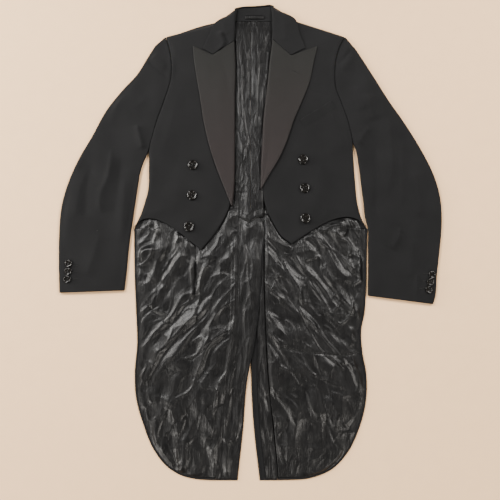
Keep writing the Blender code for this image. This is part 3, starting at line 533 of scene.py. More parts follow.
CROSS_SEAM = {
    "right": [(-46, -217), (-67, -229), (-84, -241), (-102, -259), (-126, -276)],
    "left": [(62, -249), (88, -254), (116, -259), (148, -261), (176, -264), (204, -263), (228, -256)],
}
SHORT_SEAM = {"right": [(-116, -40), (-115, -107), (-118, -150)], "left": [(114, -28), (113, -118)]}
STITCHED = {"right": [(-43, 8), (-41, -99), (-42, -130), (-42, -213), (-50, -265), (-60, -303)], "left": []}


def crease(x, y, fold):
    """Height that one fold adds: a sharp crest with wide skirts that dies out at both ends."""
    width, height, lean, *line = fold
    line = np.asarray(line, float)
    added = np.zeros(np.shape(x))
    low, high = line.min(0) - 6 * width, line.max(0) + 6 * width
    near = (x > low[0]) & (x < high[0]) & (y > low[1]) & (y < high[1])
    if not near.any():
        return added
    path = chain(line, 4.0)
    away, place = nearest(x[near], y[near], path)
    share = place / lengths(path)[-1]
    taper = smooth(5 * share + 0.08) * smooth(5 * (1 - share) + 0.08)
    uneven = 0.82 + 0.18 * np.sin(place / 17.0 + 7.0 * width + line[0, 0])
    wide = width * (1 + lean * np.sign(away))
    added[near] = height * uneven * taper * np.exp(0.4 - np.sqrt((away / wide) ** 2 + 0.16))
    return added


def creases(x, y, table, height=1.0, width=1.0):
    """Height that a table of folds adds, all of them made lower or narrower by a share."""
    return sum(crease(x, y, (fold[0] * width, fold[1] * height, *fold[2:])) for fold in table)


def swell(x, y, size, seed, turn=0.0, stretch=1.0, waves=22):
    """A slow random rise and fall between about -1 and 1, with hills of a size in millimetres, longer one way."""
    draw = np.random.default_rng(seed)
    u = (x * math.cos(turn) + y * math.sin(turn)) / stretch
    v = y * math.cos(turn) - x * math.sin(turn)
    total = np.zeros(np.shape(x))
    for _ in range(waves):
        way, phase = draw.uniform(0, 2 * math.pi, 2)
        pitch = 2 * math.pi / (size * draw.uniform(0.75, 1.5))
        total += np.sin(pitch * (u * math.cos(way) + v * math.sin(way)) + phase)
    return total / math.sqrt(waves / 2) / 1.6


def rumpled(x, y, size, seed, turn=0.0, stretch=1.0):
    """Random crests that join in a net, as on crushed satin, from 0 in the hollows to 1 on the crests."""
    return np.clip(1 - np.sqrt(np.abs(swell(x, y, size, seed, turn, stretch))), 0, 1) ** 1.2


def hem_height(side):
    """The line of a forepart's hem: y as a function of x."""
    start, end = np.asarray(SIDE_SEAM[side][-1], float), np.asarray(FRONT_EDGE[side][0], float)
    shares = np.linspace(0, 1, 30)
    hem = start + (end - start) * shares[:, None]
    hem[:, 1] += HEM_RISE[side] * np.sin(math.pi * shares**0.65)
    line = np.concatenate([hem, np.asarray(FRONT_EDGE[side][1:4], float)])
    order = np.argsort(line[:, 0])
    return lambda x: np.interp(x, line[order, 0], line[order, 1])


def satin(name, shine):
    """Black satin: a dark smooth face, brushed with fine bright and dull streaks along its threads."""
    face = Finish(name, Base_Color=(0.0018, 0.0017, 0.0018, 1.0), Specular_IOR_Level=shine, Coat_Weight=0.03,
                  Coat_Roughness=0.18)
    threads = face.noise(0.0022, 2.0, 0.6, face.stretched((1.0, 0.12, 1.0)))
    streaks = face.noise(0.007, 3.0, 0.6, face.stretched((1.0, 0.2, 1.0)))
    cloud = face.noise(0.02, 2.0, 0.5)
    face.feed(Roughness=0.33 + (streaks * 0.5 + cloud * 0.5).over(0.3, 0.7) * 0.17)
    crumple = face.bump(face.noise(0.011, 3.0, 0.58, face.stretched((1.0, 0.6, 1.0))), 0.0018, 0.6)
    face.feed(Normal=face.bump(streaks * 0.7 + threads * 0.6, 0.0016, 0.6, crumple))
    return face.material


SATIN = satin("black_satin", 0.2)
# The way that the soft folds of a tail run, from the waist down: x, y
TAIL_FLOW = {
    "right": [(40, 64), (24, 0), (-4, -80), (-46, -160), (-110, -250), (-142, -330), (-156, -420), (-160, -510)],
    "left": [(-60, 64), (-30, 0), (20, -90), (84, -190), (140, -280), (170, -350), (182, -430), (184, -510)],
}
# How high the two linings are where they are sewn together beside the strip, and the pleats pressed there
SEAM_LEVEL = 1.8
PLEATS = [
    (1.3, 1.5, -0.4, (-31.5, 24), (-32, -60), (-32, -107), (-36, -213), (-50, -300), (-58, -352)),
    (1.4, 1.8, -0.5, (-24.5, 20), (-25, -60), (-25, -151), (-27, -205)),
    (1.2, 0.8, 0.0, (-38, 24), (-38, -60), (-38.5, -107), (-41, -190), (-46, -240)),
]
STITCH_LINE, STITCH_PITCH = [(-43.5, 30), (-43, 8), (-42, -60), (-41.5, -99), (-42, -130), (-43, -170)], 5.4
HEM_Y = {side: hem_height(side) for side in SIDES}
TAIL_LINING = {}
for side in SIDES:
    outward = OUTWARD[side]
    border = outward * TAIL_BORDER
    inset = moved_aside(SKIRT_EDGE[side], -border)
    levels = np.concatenate([np.linspace(62, -440, 270), np.linspace(-441.8, -501.4, 34)])
    shares = np.concatenate([[0, 0.006, 0.014, 0.022], np.linspace(0.03, 0.88, 92), np.linspace(0.885, 1.0, 28)])
    rows = []
    for y in levels:
        outer = x_at(SKIRT_EDGE[side], y) - border
        if y < -380:
            outer = x_at(inset, y)
        if y > 0:
            outer = x_at(SIDE_SEAM[side], y) - border * 2.6
        inner = x_at(CUT[side][CUT[side][:, 1] < 60], min(y, 10.0)) + outward * 0.4
        rows.append(np.column_stack([outer + (inner - outer) * shares, np.full(len(shares), y)]))
    plan = np.array(rows)
    x, y = plan[..., 0], plan[..., 1]
    from_edge = abs(x - x[:, :1])
    from_seam = abs(x - x[:, -1:])
    across = x - x_at(chain(TAIL_FLOW[side]), y)
    seed = 11 if side == "right" else 12
    bent_x = across + 9.0 * swell(across, y, 70, seed + 40, waves=14)
    bent_y = y + 14.0 * swell(across, y, 76, seed + 50, waves=14)
    loose = (2.3 if side == "right" else 2.4) * swell(bent_x, bent_y, 42, seed, math.radians(90), 2.1)
    loose += 1.5 * rumpled(bent_x, bent_y, 34, seed + 10, math.radians(90), 2.6)
    loose += 0.5 * rumpled(bent_x, bent_y, 16, seed + 20, math.radians(90), 2.4)
    loose += creases(x, y, TAIL_CREASES[side], 0.8, 0.62)
    held = smooth(from_edge / 13.0) * smooth(from_seam / 12.0 + 0.1) * smooth((y + 505.0) / 14.0)
    seam_dip = sum(1.0 * np.exp(-((nearest(x, y, line)[0] / 1.6) ** 2)) * (abs(nearest(x, y, line)[0]) < 9)
                   for line in (CROSS_SEAM[side], SHORT_SEAM[side]))
    shown = smooth((HEM_Y[side](x) - y) / 13.0 + 0.2)
    loose *= 1.0 + 0.3 * smooth((y + 130.0) / 60.0)
    lifted = loose + 1.6
    lifted = (lifted + np.sqrt(lifted**2 + 0.5)) / 2
    if side == "right":
        joined = SEAM_LEVEL * smooth(1 - from_seam / 14.0)
        stitches, place = nearest(x, y, STITCH_LINE)
        joined += creases(x, y, [PLEATS[0], PLEATS[2]])
        joined -= (0.4 + 0.2 * np.sin(2 * math.pi * place / STITCH_PITCH)) * np.exp(-((stitches / 0.9) ** 2))
    else:
        joined = -2.6 * smooth(1 - from_seam / 3.0)
    high = LINING_FACE + 0.5 + (lifted * held - seam_dip * held + joined) * shown
    TAIL_LINING[side] = cloth(f"tail_satin_{side}", np.dstack([x, y, high]), 0.7, SATIN)
    lay(TAIL_LINING[side], f"tail_lining_{side}")


# Strip linings: satin of the long strips beside the vent. The wearer's right strip lies over the left one and has
# two pressed pleats beside its seam; the left one is narrow and has the wool vent facing on its inner edge.
FLAP_BORDER = 3.0
VENT_FACING = 13.0
# The foot of the back lining, which lies over the tops of the strips: x, y
LINING_FOOT = [(-60, 30), (-41, 29), (-22, 24), (-3, 11.5), (11, 21.5), (29, 27), (60, 29)]
STRIP_CREASES = {
    "right": [
        (2.4, 2.8, 0.2, (-20, -10), (-19, -16), (-7, -60), (-5, -107), (1, -150), (4, -178)),
        (2.2, 2.2, 0.0, (-10, -164), (-12, -196), (-10, -228)),
        (2.2, 2.0, 0.0, (-5, -228), (-7, -259), (-12, -290)),
        (3.4, 2.0, 0.0, (8, -20), (12, -70), (10, -130)),
        (2.2, 2.4, 0.0, (-61, -422), (-44, -432), (-30, -428), (-27, -409)),
        (2.6, 2.4, 0.0, (-28, -279), (-38, -300), (-42, -311), (-46, -340)),
        (3.0, 2.0, 0.0, (-40, -340), (-46, -380), (-52, -410)),
        (3.4, 1.8, 0.0, (-44, -440), (-48, -480), (-46, -500)),
    ],
    "left": [
        (2.6, 2.6, 0.0, (16, -200), (24, -228), (29, -249), (31, -283), (38, -324)),
        (2.4, 2.2, 0.0, (20, -293), (27, -328), (37, -348)),
        (3.6, 2.2, 0.0, (27, -368), (38, -419), (44, -468)),
    ],
}
for side in SIDES:
    outward = OUTWARD[side]
    centre = chain(CENTRE_BACK[side], 4.0)
    border = FLAP_BORDER if side == "right" else VENT_FACING
    levels = np.linspace(42.0, -504.0, 200)
    shares = np.concatenate([np.linspace(0, 1, 34 if side == "right" else 18)])
    outer = x_at(CUT[side][CUT[side][:, 1] < 60], levels) + outward * 0.4
    inner = x_at(centre, levels) + outward * border
    x = outer[:, None] + (inner - outer)[:, None] * shares
    y = np.repeat(levels[:, None], len(shares), axis=1)
    shown = smooth((np.interp(x, *np.transpose(LINING_FOOT)) - 1.0 - y) / 12.0)
    held = smooth(abs(x - inner[:, None]) / 7.0) * smooth((y + 506.0) / 16.0) * smooth(abs(x - outer[:, None]) / 8.0)
    loose = 0.9 * rumpled(x, y, 24, 51, math.radians(88), 3.6) + 1.1 * swell(x, y, 22, 52, math.radians(88), 3.0)
    loose += creases(x, y, STRIP_CREASES[side], 0.75, 0.72) + 0.4
    joined = SEAM_LEVEL * smooth(1 - abs(x - outer[:, None]) / 12.0)
    high = LINING_FACE + back_lift(side, x, y) - 0.5 + (0.9 + loose * held + joined) * shown
    if side == "right":
        high = high + creases(x, y, PLEATS) * shown
    piece = cloth(f"strip_satin_{side}", np.dstack([x, y, high]), 0.7, SATIN)
    lay(piece, f"strip_lining_{side}")


# Back lining: satin inside the back in two halves, seamed down the middle, joined across at the waist and
# pointed at its foot. It hangs loose from the neck, so long folds run down it.
BACK_CREASES = [
    (2.6, 3.4, 0.0, (-12, 462), (-30, 432), (-30, 394), (-26, 363), (-28, 313), (-19, 244), (-15, 236), (-18, 219),
     (-10, 204), (-6, 187), (-11, 172), (-10, 159), (-5, 144), (2, 135)),
    (2.4, 2.8, 0.0, (-6, 458), (-23, 426), (-23, 394), (-19, 363), (-20, 313), (-14, 249), (-11, 225), (-6, 198),
     (2, 181), (2, 166)),
    (2.6, 2.6, 0.0, (-27, 221), (-23, 200), (-18, 181), (-20, 166), (-25, 159)),
    (3.0, 2.8, 0.0, (-28, 172), (-23, 159), (-18, 144), (-20, 131), (-16, 118), (-21, 100)),
    (2.4, 2.2, 0.0, (-6, 276), (-4, 259), (2, 249), (9, 255), (11, 272)),
    (2.6, 1.8, 0.0, (-6, 424), (-8, 380), (-6, 320), (-8, 280)),
    (2.6, 2.6, 0.0, (16, 440), (18, 380), (14, 320), (13, 255), (11, 230), (15, 212)),
    (2.2, 2.2, 0.0, (19, 253), (20, 238), (24, 227)),
    (2.4, 2.4, 0.0, (5, 196), (11, 174), (16, 155), (11, 144)),
    (2.2, 2.2, 0.0, (14, 176), (22, 163)),
    (2.2, 2.0, 0.0, (2, 112), (5, 100), (10, 92), (8, 82), (11, 70)),
    (2.4, 2.4, 0.0, (-19, 67), (-17, 47), (-21, 27)),
    (2.0, 2.4, 0.0, (10, 68), (10, 45), (10, 23)),
    (3.0, 2.2, 0.0, (44, 420), (38, 380), (34, 341), (25, 306), (25, 262)),
    (2.4, 2.0, 0.0, (24, 130), (20, 100), (18, 80)),
    (2.2, 1.8, 0.0, (-12, 124), (-6, 112), (-10, 92)),
]
BACK_TROUGHS = [(1.6, -2.0, 0.0, (2, 466), (1, 400), (2, 330), (3, 280)), (1.1, -0.8, 0.0, (-34, 77), (-20, 78), (-2, 79))]
NECK_Y = 474.0
BACK_SATIN = satin("back_satin", 0.12)
GATHER_PITCH, GATHER_DEPTH = 6.2, 18.0
for side in SIDES:
    outward = OUTWARD[side]
    places = np.linspace(0, 1, 230)[:, None]
    shares = np.concatenate([[0, 0.01, 0.025], np.linspace(0.045, 0.86, 46), np.linspace(0.88, 1, 5)])
    x = outward * (SEAM + shares * (61.0 - 21.0 * places))
    foot_y = np.interp(x, *np.transpose(LINING_FOOT))
    y = NECK_Y + (foot_y - NECK_Y) * places
    inside = np.minimum(x - x_at(FRONT_EDGE["right"], y), x_at(FRONT_EDGE["left"], y) - x)
    bent_x, bent_y = x + 4.0 * swell(x, y, 60, 64, waves=14), y + 8.0 * swell(x, y, 64, 65, waves=14)
    loose = 0.6 * rumpled(bent_x, bent_y, 22, 61, math.radians(86), 3.4)
    loose += 0.6 * swell(bent_x, bent_y, 30, 63, math.radians(88), 2.6)
    loose += creases(x, y, BACK_CREASES, 0.46, 0.55) + creases(x, y, BACK_TROUGHS)
    held = smooth((inside - 2.0) / 9.0) * smooth((NECK_Y - y) / 16.0 + 0.1) * smooth(abs(x) / 3.0 + 0.35)
    held = held * (0.35 + 0.65 * smooth((y - foot_y) / 14.0))
    foot = 1.8 * smooth((foot_y + 18.0 - y) / 12.0) - 1.6 * smooth(1 - (y - foot_y) / 2.0)
    gathers = 0.3 * np.sin(2 * math.pi * (x + 2.0 * np.sin(x / 7.0)) / GATHER_PITCH) * smooth(1 - (NECK_Y - y) / GATHER_DEPTH)
    over_flap = FLAP_LIFT * smooth((33.0 - x) / 9.0) * smooth((150.0 - y) / 96.0) if side == "left" else 0.0
    high = LINING_FACE + 0.4 + back_lift(side, x, y) + over_flap + np.maximum(loose, -1.2) * held + foot + gathers
    piece = cloth(f"back_satin_{side}", np.dstack([x, y, high]), 0.7, BACK_SATIN)
    lay(piece, f"back_lining_{side}")


# Foreparts: the fronts of the coat, in wool on a canvas, laid over the back. They are crowned over the chest
# and pressed thin at the front edge and the hem.
FORE = 2.6
FACED = 2.0
NOSE_RADIUS = 4.2
OVER_SHELL = SHELL + LAYER
FACING_UNDER = LINING_FACE + 0.9
EDGE_FACE = FACING_UNDER + FACED + FORE + 2 * LAYER
CROWN = [(-50, 8.2), (100, 8.5), (320, 9.6), (400, 10.4), (480, 10.0)]
ARM_FACE = 7.4
SIDE_ROLL = 7.0
SHOULDER_ROLL = 9.0
HEM_RISE_ENDS = 0.3
SHOULDER = {"right": ((-190, 437), (-60, 474)), "left": ((212, 437), (86, 481))}
FRONT_WAVES = {
    "right": [(22, 1.1, 0.0, (-120, -10), (-150, 60), (-160, 140)), (18, -0.9, 0.0, (-200, 60), (-170, 120), (-150, 210)),
              (16, 1.2, 0.0, (-196, 150), (-176, 220), (-160, 300)), (20, -0.8, 0.0, (-140, 250), (-150, 330), (-170, 400)),
              (12, 0.9, 0.0, (-215, 20), (-190, 40), (-150, 40))],
    "left": [(22, 1.1, 0.0, (110, 0), (140, 70), (150, 150)), (18, -0.9, 0.0, (204, 60), (176, 130), (150, 200)),
             (16, 1.2, 0.0, (204, 160), (180, 240), (170, 320)), (20, -0.8, 0.0, (150, 300), (160, 360), (180, 410)),
             (12, 0.9, 0.0, (216, 20), (190, 36), (150, 40))],
}
EDGE = {side: chain(FRONT_EDGE[side], 3.0) for side in SIDES}


def front_face(side, x, y):
    """Upper face of a forepart: low at its front edge, crowned over the chest and rolled down at its sides."""
    from_side = (x - x_at(FLANK[side], y)) * -OUTWARD[side]
    from_edge = (x_at(EDGE[side], y) - x) * -OUTWARD[side]
    width = from_side + from_edge
    crown = np.interp(y, *np.transpose(CROWN))
    edge = EDGE_FACE + neck_lift(x, y)
    face = edge + (crown - edge) * smooth(from_edge / (0.6 * width))
    rim = OVER_SHELL + neck_lift(x, y)
    underarm = ARMHOLE[side][-1][1]
    seam = rim + (ARM_FACE - rim) * smooth((y - underarm + 14.0) / 30.0)
    face = seam + (face - seam) * quarter_round(from_side / SIDE_ROLL)
    outer, neck = np.asarray(SHOULDER[side], float)
    run = (neck - outer) / np.linalg.norm(neck - outer)
    below = ((x - outer[0]) * run[1] - (y - outer[1]) * run[0]) * -OUTWARD[side]
    inside = smooth(from_side / 12.0) * smooth(from_edge / 14.0) * smooth(below / 16.0)
    inside = inside * smooth((y - HEM_Y[side](x)) / 16.0)
    wave = creases(x, y, FRONT_WAVES[side], 1.9) + 1.0 * swell(x, y, 84, 71 if side == "right" else 72)
    return rim + (face - rim) * quarter_round(below / SHOULDER_ROLL) + wave * inside


for side in SIDES:
    shares = packed(62, [0.0, 0.003, 0.008, 0.015, 0.024])
    places = packed(150, [0.0, 0.0014, 0.0035, 0.006, 0.009])
    outer, inner = along(FLANK[side], places), along(EDGE[side], places)
    plan = outer[:, None] + (inner - outer)[:, None] * shares[None, :, None]
    rise = HEM_RISE[side] * np.clip(1 - places / HEM_RISE_ENDS, 0, 1) ** 2
    plan[..., 1] += rise[:, None] * np.sin(math.pi * shares**0.65)
    x, y = plan[..., 0], plan[..., 1]
    length = lengths(FLANK[side])[-1]
    from_edge = np.hypot(*(plan - inner[:, None]).transpose(2, 0, 1))
    drop = 1.5 * (1 - quarter_round(np.minimum(from_edge, (places * length)[:, None]) / 3.2))
    high = front_face(side, x, y) - drop * (shares > 0.1)
    piece = cloth(f"forepart_cloth_{side}", np.dstack([x, y, high]), FORE - 0.2, WORSTED)
    lay(piece, f"forepart_{side}")
    FORE_TREE = {} if side == "right" else FORE_TREE
    FORE_TREE[side] = piece


# Breast welt: a folded strip of the same wool, sewn slanting on the wearer's left chest over the pocket mouth.
WELT_START, WELT_END, WELT_DEPTH, WELT_CLOTH = (106, 239), (177, 283), 20.0, 2.4
start, end = np.asarray(WELT_START, float), np.asarray(WELT_END, float)
run = (end - start) / np.linalg.norm(end - start)
down = np.array([run[1], -run[0]])
places, shares = np.linspace(0, 1, 40), np.array([0, 0.03, 0.08, 0.2, 0.4, 0.6, 0.8, 0.92, 0.97, 1.0])
plan = start + (end - start) * places[:, None, None] + down * WELT_DEPTH * shares[None, :, None]
rim = quarter_round(shares * WELT_DEPTH / 1.2)[None] * quarter_round(np.minimum(places, 1 - places) * 74 / 4.0)[:, None]
high = front_face("left", plan[..., 0], plan[..., 1]) + 0.1 + WELT_CLOTH * (0.3 + 0.7 * rim) * (1 - shares)
lay(cloth("breast_welt_cloth", np.dstack([plan, high]), 0.9, WORSTED), "breast_welt")


# Lapels: long peaked lapels faced in ribbed silk, folded over on the roll line and pressed down on the chest.
LAPEL = {
    "right": [(-39, 48, -40, 49, -41.5, 50), (-35, 84, -45, 84, -55, 85), (-34, 130, -54, 130, -73, 131),
              (-34, 177, -61, 177, -88, 177), (-34, 241, -69, 241, -103, 241), (-34, 300, -73, 299, -112, 298),
              (-33, 350, -78, 344, -121, 350), (-34, 392, -82, 371, -126, 385), (-36, 424, -84, 390.5, -128, 411)],
    "left": [(21, 84, 22, 85, 23.5, 86), (22, 115, 31, 115, 40, 116), (23, 150, 42, 150, 60, 150),
             (25, 183, 50, 183, 75, 183), (28, 241, 62, 241, 95, 241), (33, 288, 75, 288, 115, 288),
             (38, 330, 85, 327, 131, 331), (42, 372, 88, 358, 140, 374), (49, 427, 90, 388.5, 149, 411)],
}
LAPEL_WAVES = {
    "right": [(9, -1.0, 0.3, (-66, 389), (-48, 327), (-39, 288)), (14, 0.8, 0.0, (-70, 320), (-66, 250), (-56, 180)),
              (10, 0.6, 0.0, (-96, 370), (-92, 300))],
    "left": [(12, 0.8, 0.0, (70, 350), (60, 270), (48, 190)), (10, -0.6, 0.0, (100, 380), (96, 320), (84, 250))],
}

# How far the edge of a lapel stands off the chest: y, height
LAPEL_LIFT = {"right": [(80, 0), (120, 0.8), (260, 0.6), (320, 0)],
              "left": [(86, 0), (110, 1.6), (150, 2.8), (240, 2.2), (300, 0.6), (340, 0)]}


def drape(side, x, y, reach=9.0):
    """Highest level of a forepart near each point, which is what a leaf of cloth over it rests on."""
    spots = [(0.0, 0.0)] + [(reach * math.cos(a), reach * math.sin(a)) for a in np.arange(8) * math.pi / 4]
    return np.max([front_face(side, x + dx, y + dy) for dx, dy in spots], axis=0)


def folded_leaf(side, table, knee, count, across, thickness, waves=(), lift=((0, 0), (1, 0))):
    """A leaf whose rows turn over the fold line and lie on the forepart out to their edge."""
    rows = []
    shares = np.concatenate([np.linspace(1 / across, 1 - 3.4 / 90, across - 4), [0.975, 0.986, 0.994, 1.0]])
    turns = np.radians(np.linspace(-90, 90, 9))
    for row in spline(table, np.linspace(0, 1, count)):
        roll, middle, edge = row[0:2], row[2:4], row[4:6]
        width = np.linalg.norm(edge - roll)
        base = FACING_UNDER + float(neck_lift(*roll))
        top = base + 2 * NOSE_RADIUS
        radius = min(NOSE_RADIUS, 0.45 * width)
        reach = min(11.0, max(0.7 * width, radius + 0.4))
        away = np.concatenate([[reach], radius * (1 - np.cos(turns))])
        nose = np.concatenate([[base], base + (top - base) / 2 * (1 + np.sin(turns))])
        lead = (middle - roll) / np.linalg.norm(middle - roll)
        first = roll + lead * radius
        near = shares[:, None] <= knee
        plan = np.where(near, first + (middle - first) * shares[:, None] / knee,
                        middle + (edge - middle) * (shares[:, None] - knee) / (1 - knee))
        rest = drape(side, plan[:, 0], plan[:, 1]) + LAYER + 0.3 + thickness
        bridge = top + (rest[-1] - top) * shares**1.4
        face = np.maximum(rest, bridge)
        if waves:
            face = face + creases(plan[:, 0], plan[:, 1], waves) * smooth(shares * 5) * smooth((1 - shares) * 6)
        face = face + np.interp(plan[:, 1], *np.transpose(lift)) * smooth(shares * 1.4 - 0.3)
        face = face - 0.9 * (1 - quarter_round((1 - shares) * width / 2.2))
        rows.append(np.column_stack([np.concatenate([roll + lead * away[:, None], plan]), np.concatenate([nose, face])]))
    return np.array(rows)


faille = Finish("ribbed_silk", Specular_IOR_Level=0.16, Sheen_Weight=0.04, Sheen_Roughness=0.4)
# Painted shade: the silk's height up the coat (Y) turns it darker and greener towards the top of the lapels, where less
# light falls, and leaves the warm mottled tone below.
height = faille.node("ShaderNodeSeparateXYZ", {}, {0: faille.place}, output="Y")
mottle = faille.noise(0.02, 3.0, 0.6)
warm = faille.blend(mottle.over(0.3, 0.7), (0.0062, 0.0041, 0.004), (0.0079, 0.0053, 0.0051))
faille.feed(Base_Color=faille.blend(height.over(0.16, 0.38), warm, (0.0037, 0.0036, 0.0031)))
ribs = faille.node("ShaderNodeTexWave", {"bands_direction": "Y"},
                   {"Vector": faille.place, "Scale": 262.0, "Distortion": 0.9, "Detail": 1.0, "Detail Scale": 0.8})
faille.feed(Normal=faille.bump(ribs + faille.noise(0.004, 2.0) * 0.5, 0.0003, 0.6), Roughness=0.5 + mottle * 0.14)
FAILLE = faille.material

for side in SIDES:
    grid = folded_leaf(side, LAPEL[side], 0.5, 120, 34, FACED, LAPEL_WAVES[side], LAPEL_LIFT[side])
    count = len(grid)
    gorge = np.clip((np.arange(count) - (count - 5)) / 4.0, 0, 1)
    grid[:, 10:, 2] -= 0.8 * (1 - quarter_round(1 - gorge))[:, None]
    LAPEL_PIECE = cloth(f"lapel_silk_{side}", grid, 1.4, FAILLE)
    lay(LAPEL_PIECE, f"lapel_{side}")


# Collar: the same wool in one leaf round the neck, notched against the lapels' peaks, with a stand inside the
# neck. It is pressed over on its fold, and its corner ripples where it bends over the shoulder.
COLLAR = 1.6
COLLAR_LEAF = {
    "right": [(-36, 425.5, -83.5, 392.2, -106, 406), (-35, 448, -70, 430, -93, 437), (-34, 472, -62, 464, -80, 467),
              (-32, 490, -50, 484, -61, 482), (-29, 503, -34, 500, -39, 499)],
    "left": [(49, 428.5, 89.5, 390.2, 122, 407), (49, 450, 84, 432, 111, 440), (49, 474, 76, 468, 99, 478),
             (48, 492, 64, 488, 77, 493), (46, 507, 51, 506, 56, 507)],
}
COLLAR_WAVES = {
    "right": [(5, 4.4, 0.0, (-70, 448), (-66, 436), (-60, 418), (-66, 405), (-78, 399)),
              (2.6, -5.0, 0.0, (-62, 442), (-56, 428), (-53, 417), (-59, 404), (-72, 397)),
              (7, 1.6, 0.0, (-58, 470), (-60, 456), (-50, 436))],
    "left": [(7, 1.6, 0.0, (74, 468), (78, 444), (74, 420))],
}
COLLAR_BACK = [
    (-37, 454, -36, 506, 8.4), (-27, 455, -28, 508, 9.0), (-14, 454, -14, 510, 9.8), (10, 453, 10, 511, 10.0),
    (32, 454, 32, 513, 9.8), (44, 456, 45, 514.5, 9.4), (54, 455, 53, 512, 8.4),
]
STAND_ENDS = (-36.0, 52.0)
STAND_PROFILE = [(475.0, 5.9), (482, 5.9), (492, 7.0), (499, 8.4)]
for side in SIDES:
    grid = folded_leaf(side, COLLAR_LEAF[side], 2 / 3, 60, 34, FACED, COLLAR_WAVES[side])
    lay(cloth(f"collar_cloth_{side}", grid, 1.4, WORSTED), f"collar_{side}")

rows = []
for row in spline(COLLAR_BACK, np.linspace(0, 1, 40)):
    low, silhouette, top = row[0:2], row[2:4], row[4]
    width = np.linalg.norm(low - silhouette)
    lead = (low - silhouette) / width
    radius = min(4.0, 0.4 * width)
    turns = np.radians(np.linspace(-90, 90, 13))
    away = np.concatenate([np.linspace(width, radius * 1.4, 8), radius * (1 - np.cos(turns))])
    high = np.concatenate([np.zeros(8), top / 2 * (1 + np.sin(turns))])
    rows.append(np.column_stack([silhouette + lead * away[:, None], high]))
lay(cloth("collar_back_cloth", rows, COLLAR, WORSTED, upward=True), "collar_back")

rows = []
for x in np.linspace(*STAND_ENDS, 44):
    crest = x_at(np.asarray(COLLAR_BACK, float)[:, [3, 2]], x)
    profile = spline([*STAND_PROFILE, (crest - 6.2, 9.5)], np.linspace(0, 1, 22))
    rows.append(np.column_stack([np.full(len(profile), x), profile]))
lay(cloth("collar_stand_cloth", rows, COLLAR, WORSTED), "collar_stand")


# Hanger loop: a short narrow band of satin, caught at both ends over the foot of the collar stand.
LOOP_START, LOOP_END, LOOP_LOW, LOOP_HIGH = -12.0, 30.0, 479.0, 486.5
rows = []
for place in np.linspace(0, 1, 40):
    x = LOOP_START + (LOOP_END - LOOP_START) * place
    arch = STAND_PROFILE[0][1] + 2.0 + 0.9 * math.sin(math.pi * place)
    across = np.linspace(0, 1, 9)
    rows.append(np.column_stack([np.full(9, x), LOOP_LOW + (LOOP_HIGH - LOOP_LOW) * across,
                                 arch + 0.6 * across + 1.3 * np.sin(math.pi * across)]))
lay(cloth("hanger_loop_band", rows, 0.9, SATIN), "hanger_loop")


# Sleeves: a top sleeve whose edges roll under to meet the under sleeve on the floor. They are pressed flat and
# softly creased at the elbow and under the arm; the cap is eased into the armhole.
SLEEVE = 2.0
SLEEVE_ROWS = {
    "right": [(-213, 416, -227, 158, 8.6, 7.8), (-229, 388, -231, 148, 8.4, 7.7), (-250, 350, -235, 136, 8.2, 7.6),
              (-281, 313, -239, 118, 8.0, 7.5), (-315, 266, -242, 92, 8.0, 7.5), (-345, 205, -246, 58, 8.0, 7.5),
              (-371, 155, -250, 22, 8.0, 7.5), (-391, 104, -254, -12, 8.0, 7.4), (-404, 48, -257, -48, 8.0, 7.4),
              (-406, -10, -259, -80, 8.0, 7.3), (-403.5, -75, -261, -108, 7.9, 7.2), (-399, -136, -263, -131, 7.8, 7.0)],
    "left": [(236, 406, 229, 174, 8.6, 7.8), (256, 372, 232, 158, 8.4, 7.7), (280, 330, 234, 138, 8.2, 7.6),
             (304, 287, 236, 118, 8.0, 7.5), (330, 246, 238, 92, 8.0, 7.5), (355, 203, 241, 60, 8.0, 7.5),
             (379, 156, 243.5, 27, 8.0, 7.5), (396, 114, 249.5, -4, 8.0, 7.4), (406, 70, 248.5, -32, 8.0, 7.4),
             (407, 15, 247.5, -65, 8.0, 7.3), (401, -35, 246.5, -95, 7.9, 7.2), (391, -98, 245, -122, 7.9, 7.1),
             (384, -148, 244.5, -138, 7.8, 7.0), (380, -159.5, 244.5, -142, 7.7, 6.9)],
}
CAP_FACE = 8.6
CAP_ROWS, CAP_SHARE = 16, 0.06
UNDER_WRAP = 12.0
EDGE_RADIUS = 4.0
SLEEVE_CREASES = {
    "right": [(3.4, -2.2, 0.0, (-232, 382), (-221, 372), (-201, 356), (-181, 341)), (9, 1.4, 0.0, (-222, 388), (-200, 372), (-186, 360)),
              (8, 2.6, 0.0, (-249, 232), (-240, 200), (-232, 172)),
              (16, 2.0, 0.0, (-283, 300), (-296, 262), (-306, 225)), (10, 2.6, 0.3, (-300, 180), (-305, 117), (-322, 64), (-317, 29)),
              (14, 1.6, 0.0, (-318, -5), (-330, -60), (-345, -105)), (15, 1.6, 0.0, (-352, 130), (-366, 80), (-374, 20)),
              (12, -1.6, 0.0, (-280, 160), (-284, 90), (-290, 20)), (12, 1.4, 0.0, (-270, 110), (-272, 40), (-276, -40)),
              (12, 0.9, 0.0, (-228, 300), (-240, 280), (-262, 262)), (12, -1.4, 0.0, (-340, 150), (-352, 90), (-350, 20))],
    "left": [(3.4, -2.2, 0.0, (190, 368), (208, 384), (225, 405)), (9, 1.4, 0.0, (200, 358), (216, 374), (232, 392)),
             (8, 2.6, 0.0, (232, 184), (246, 206), (261, 225)),
             (5, 2.0, 0.0, (318, 2), (312, -18), (300, -38)), (4, 1.6, 0.0, (346, -96), (346, -120), (344, -142)),
             (15, 1.8, 0.0, (256, 300), (262, 270), (272, 238)), (12, 2.2, 0.0, (300, 246), (304, 150), (290, 60)),
             (10, 2.0, 0.0, (317, -10), (308, -28), (298, -46)), (15, 1.6, 0.0, (352, 130), (360, 80), (358, 20)),
             (12, -1.6, 0.0, (268, 190), (272, 110), (266, 20)), (12, 1.2, 0.0, (330, 200), (326, 120), (322, 40)),
             (14, 1.4, 0.0, (340, -20), (336, -70), (330, -110)), (12, 1.4, 0.0, (228, 320), (240, 290), (250, 262))],
}
SLEEVE_PIECE = {}
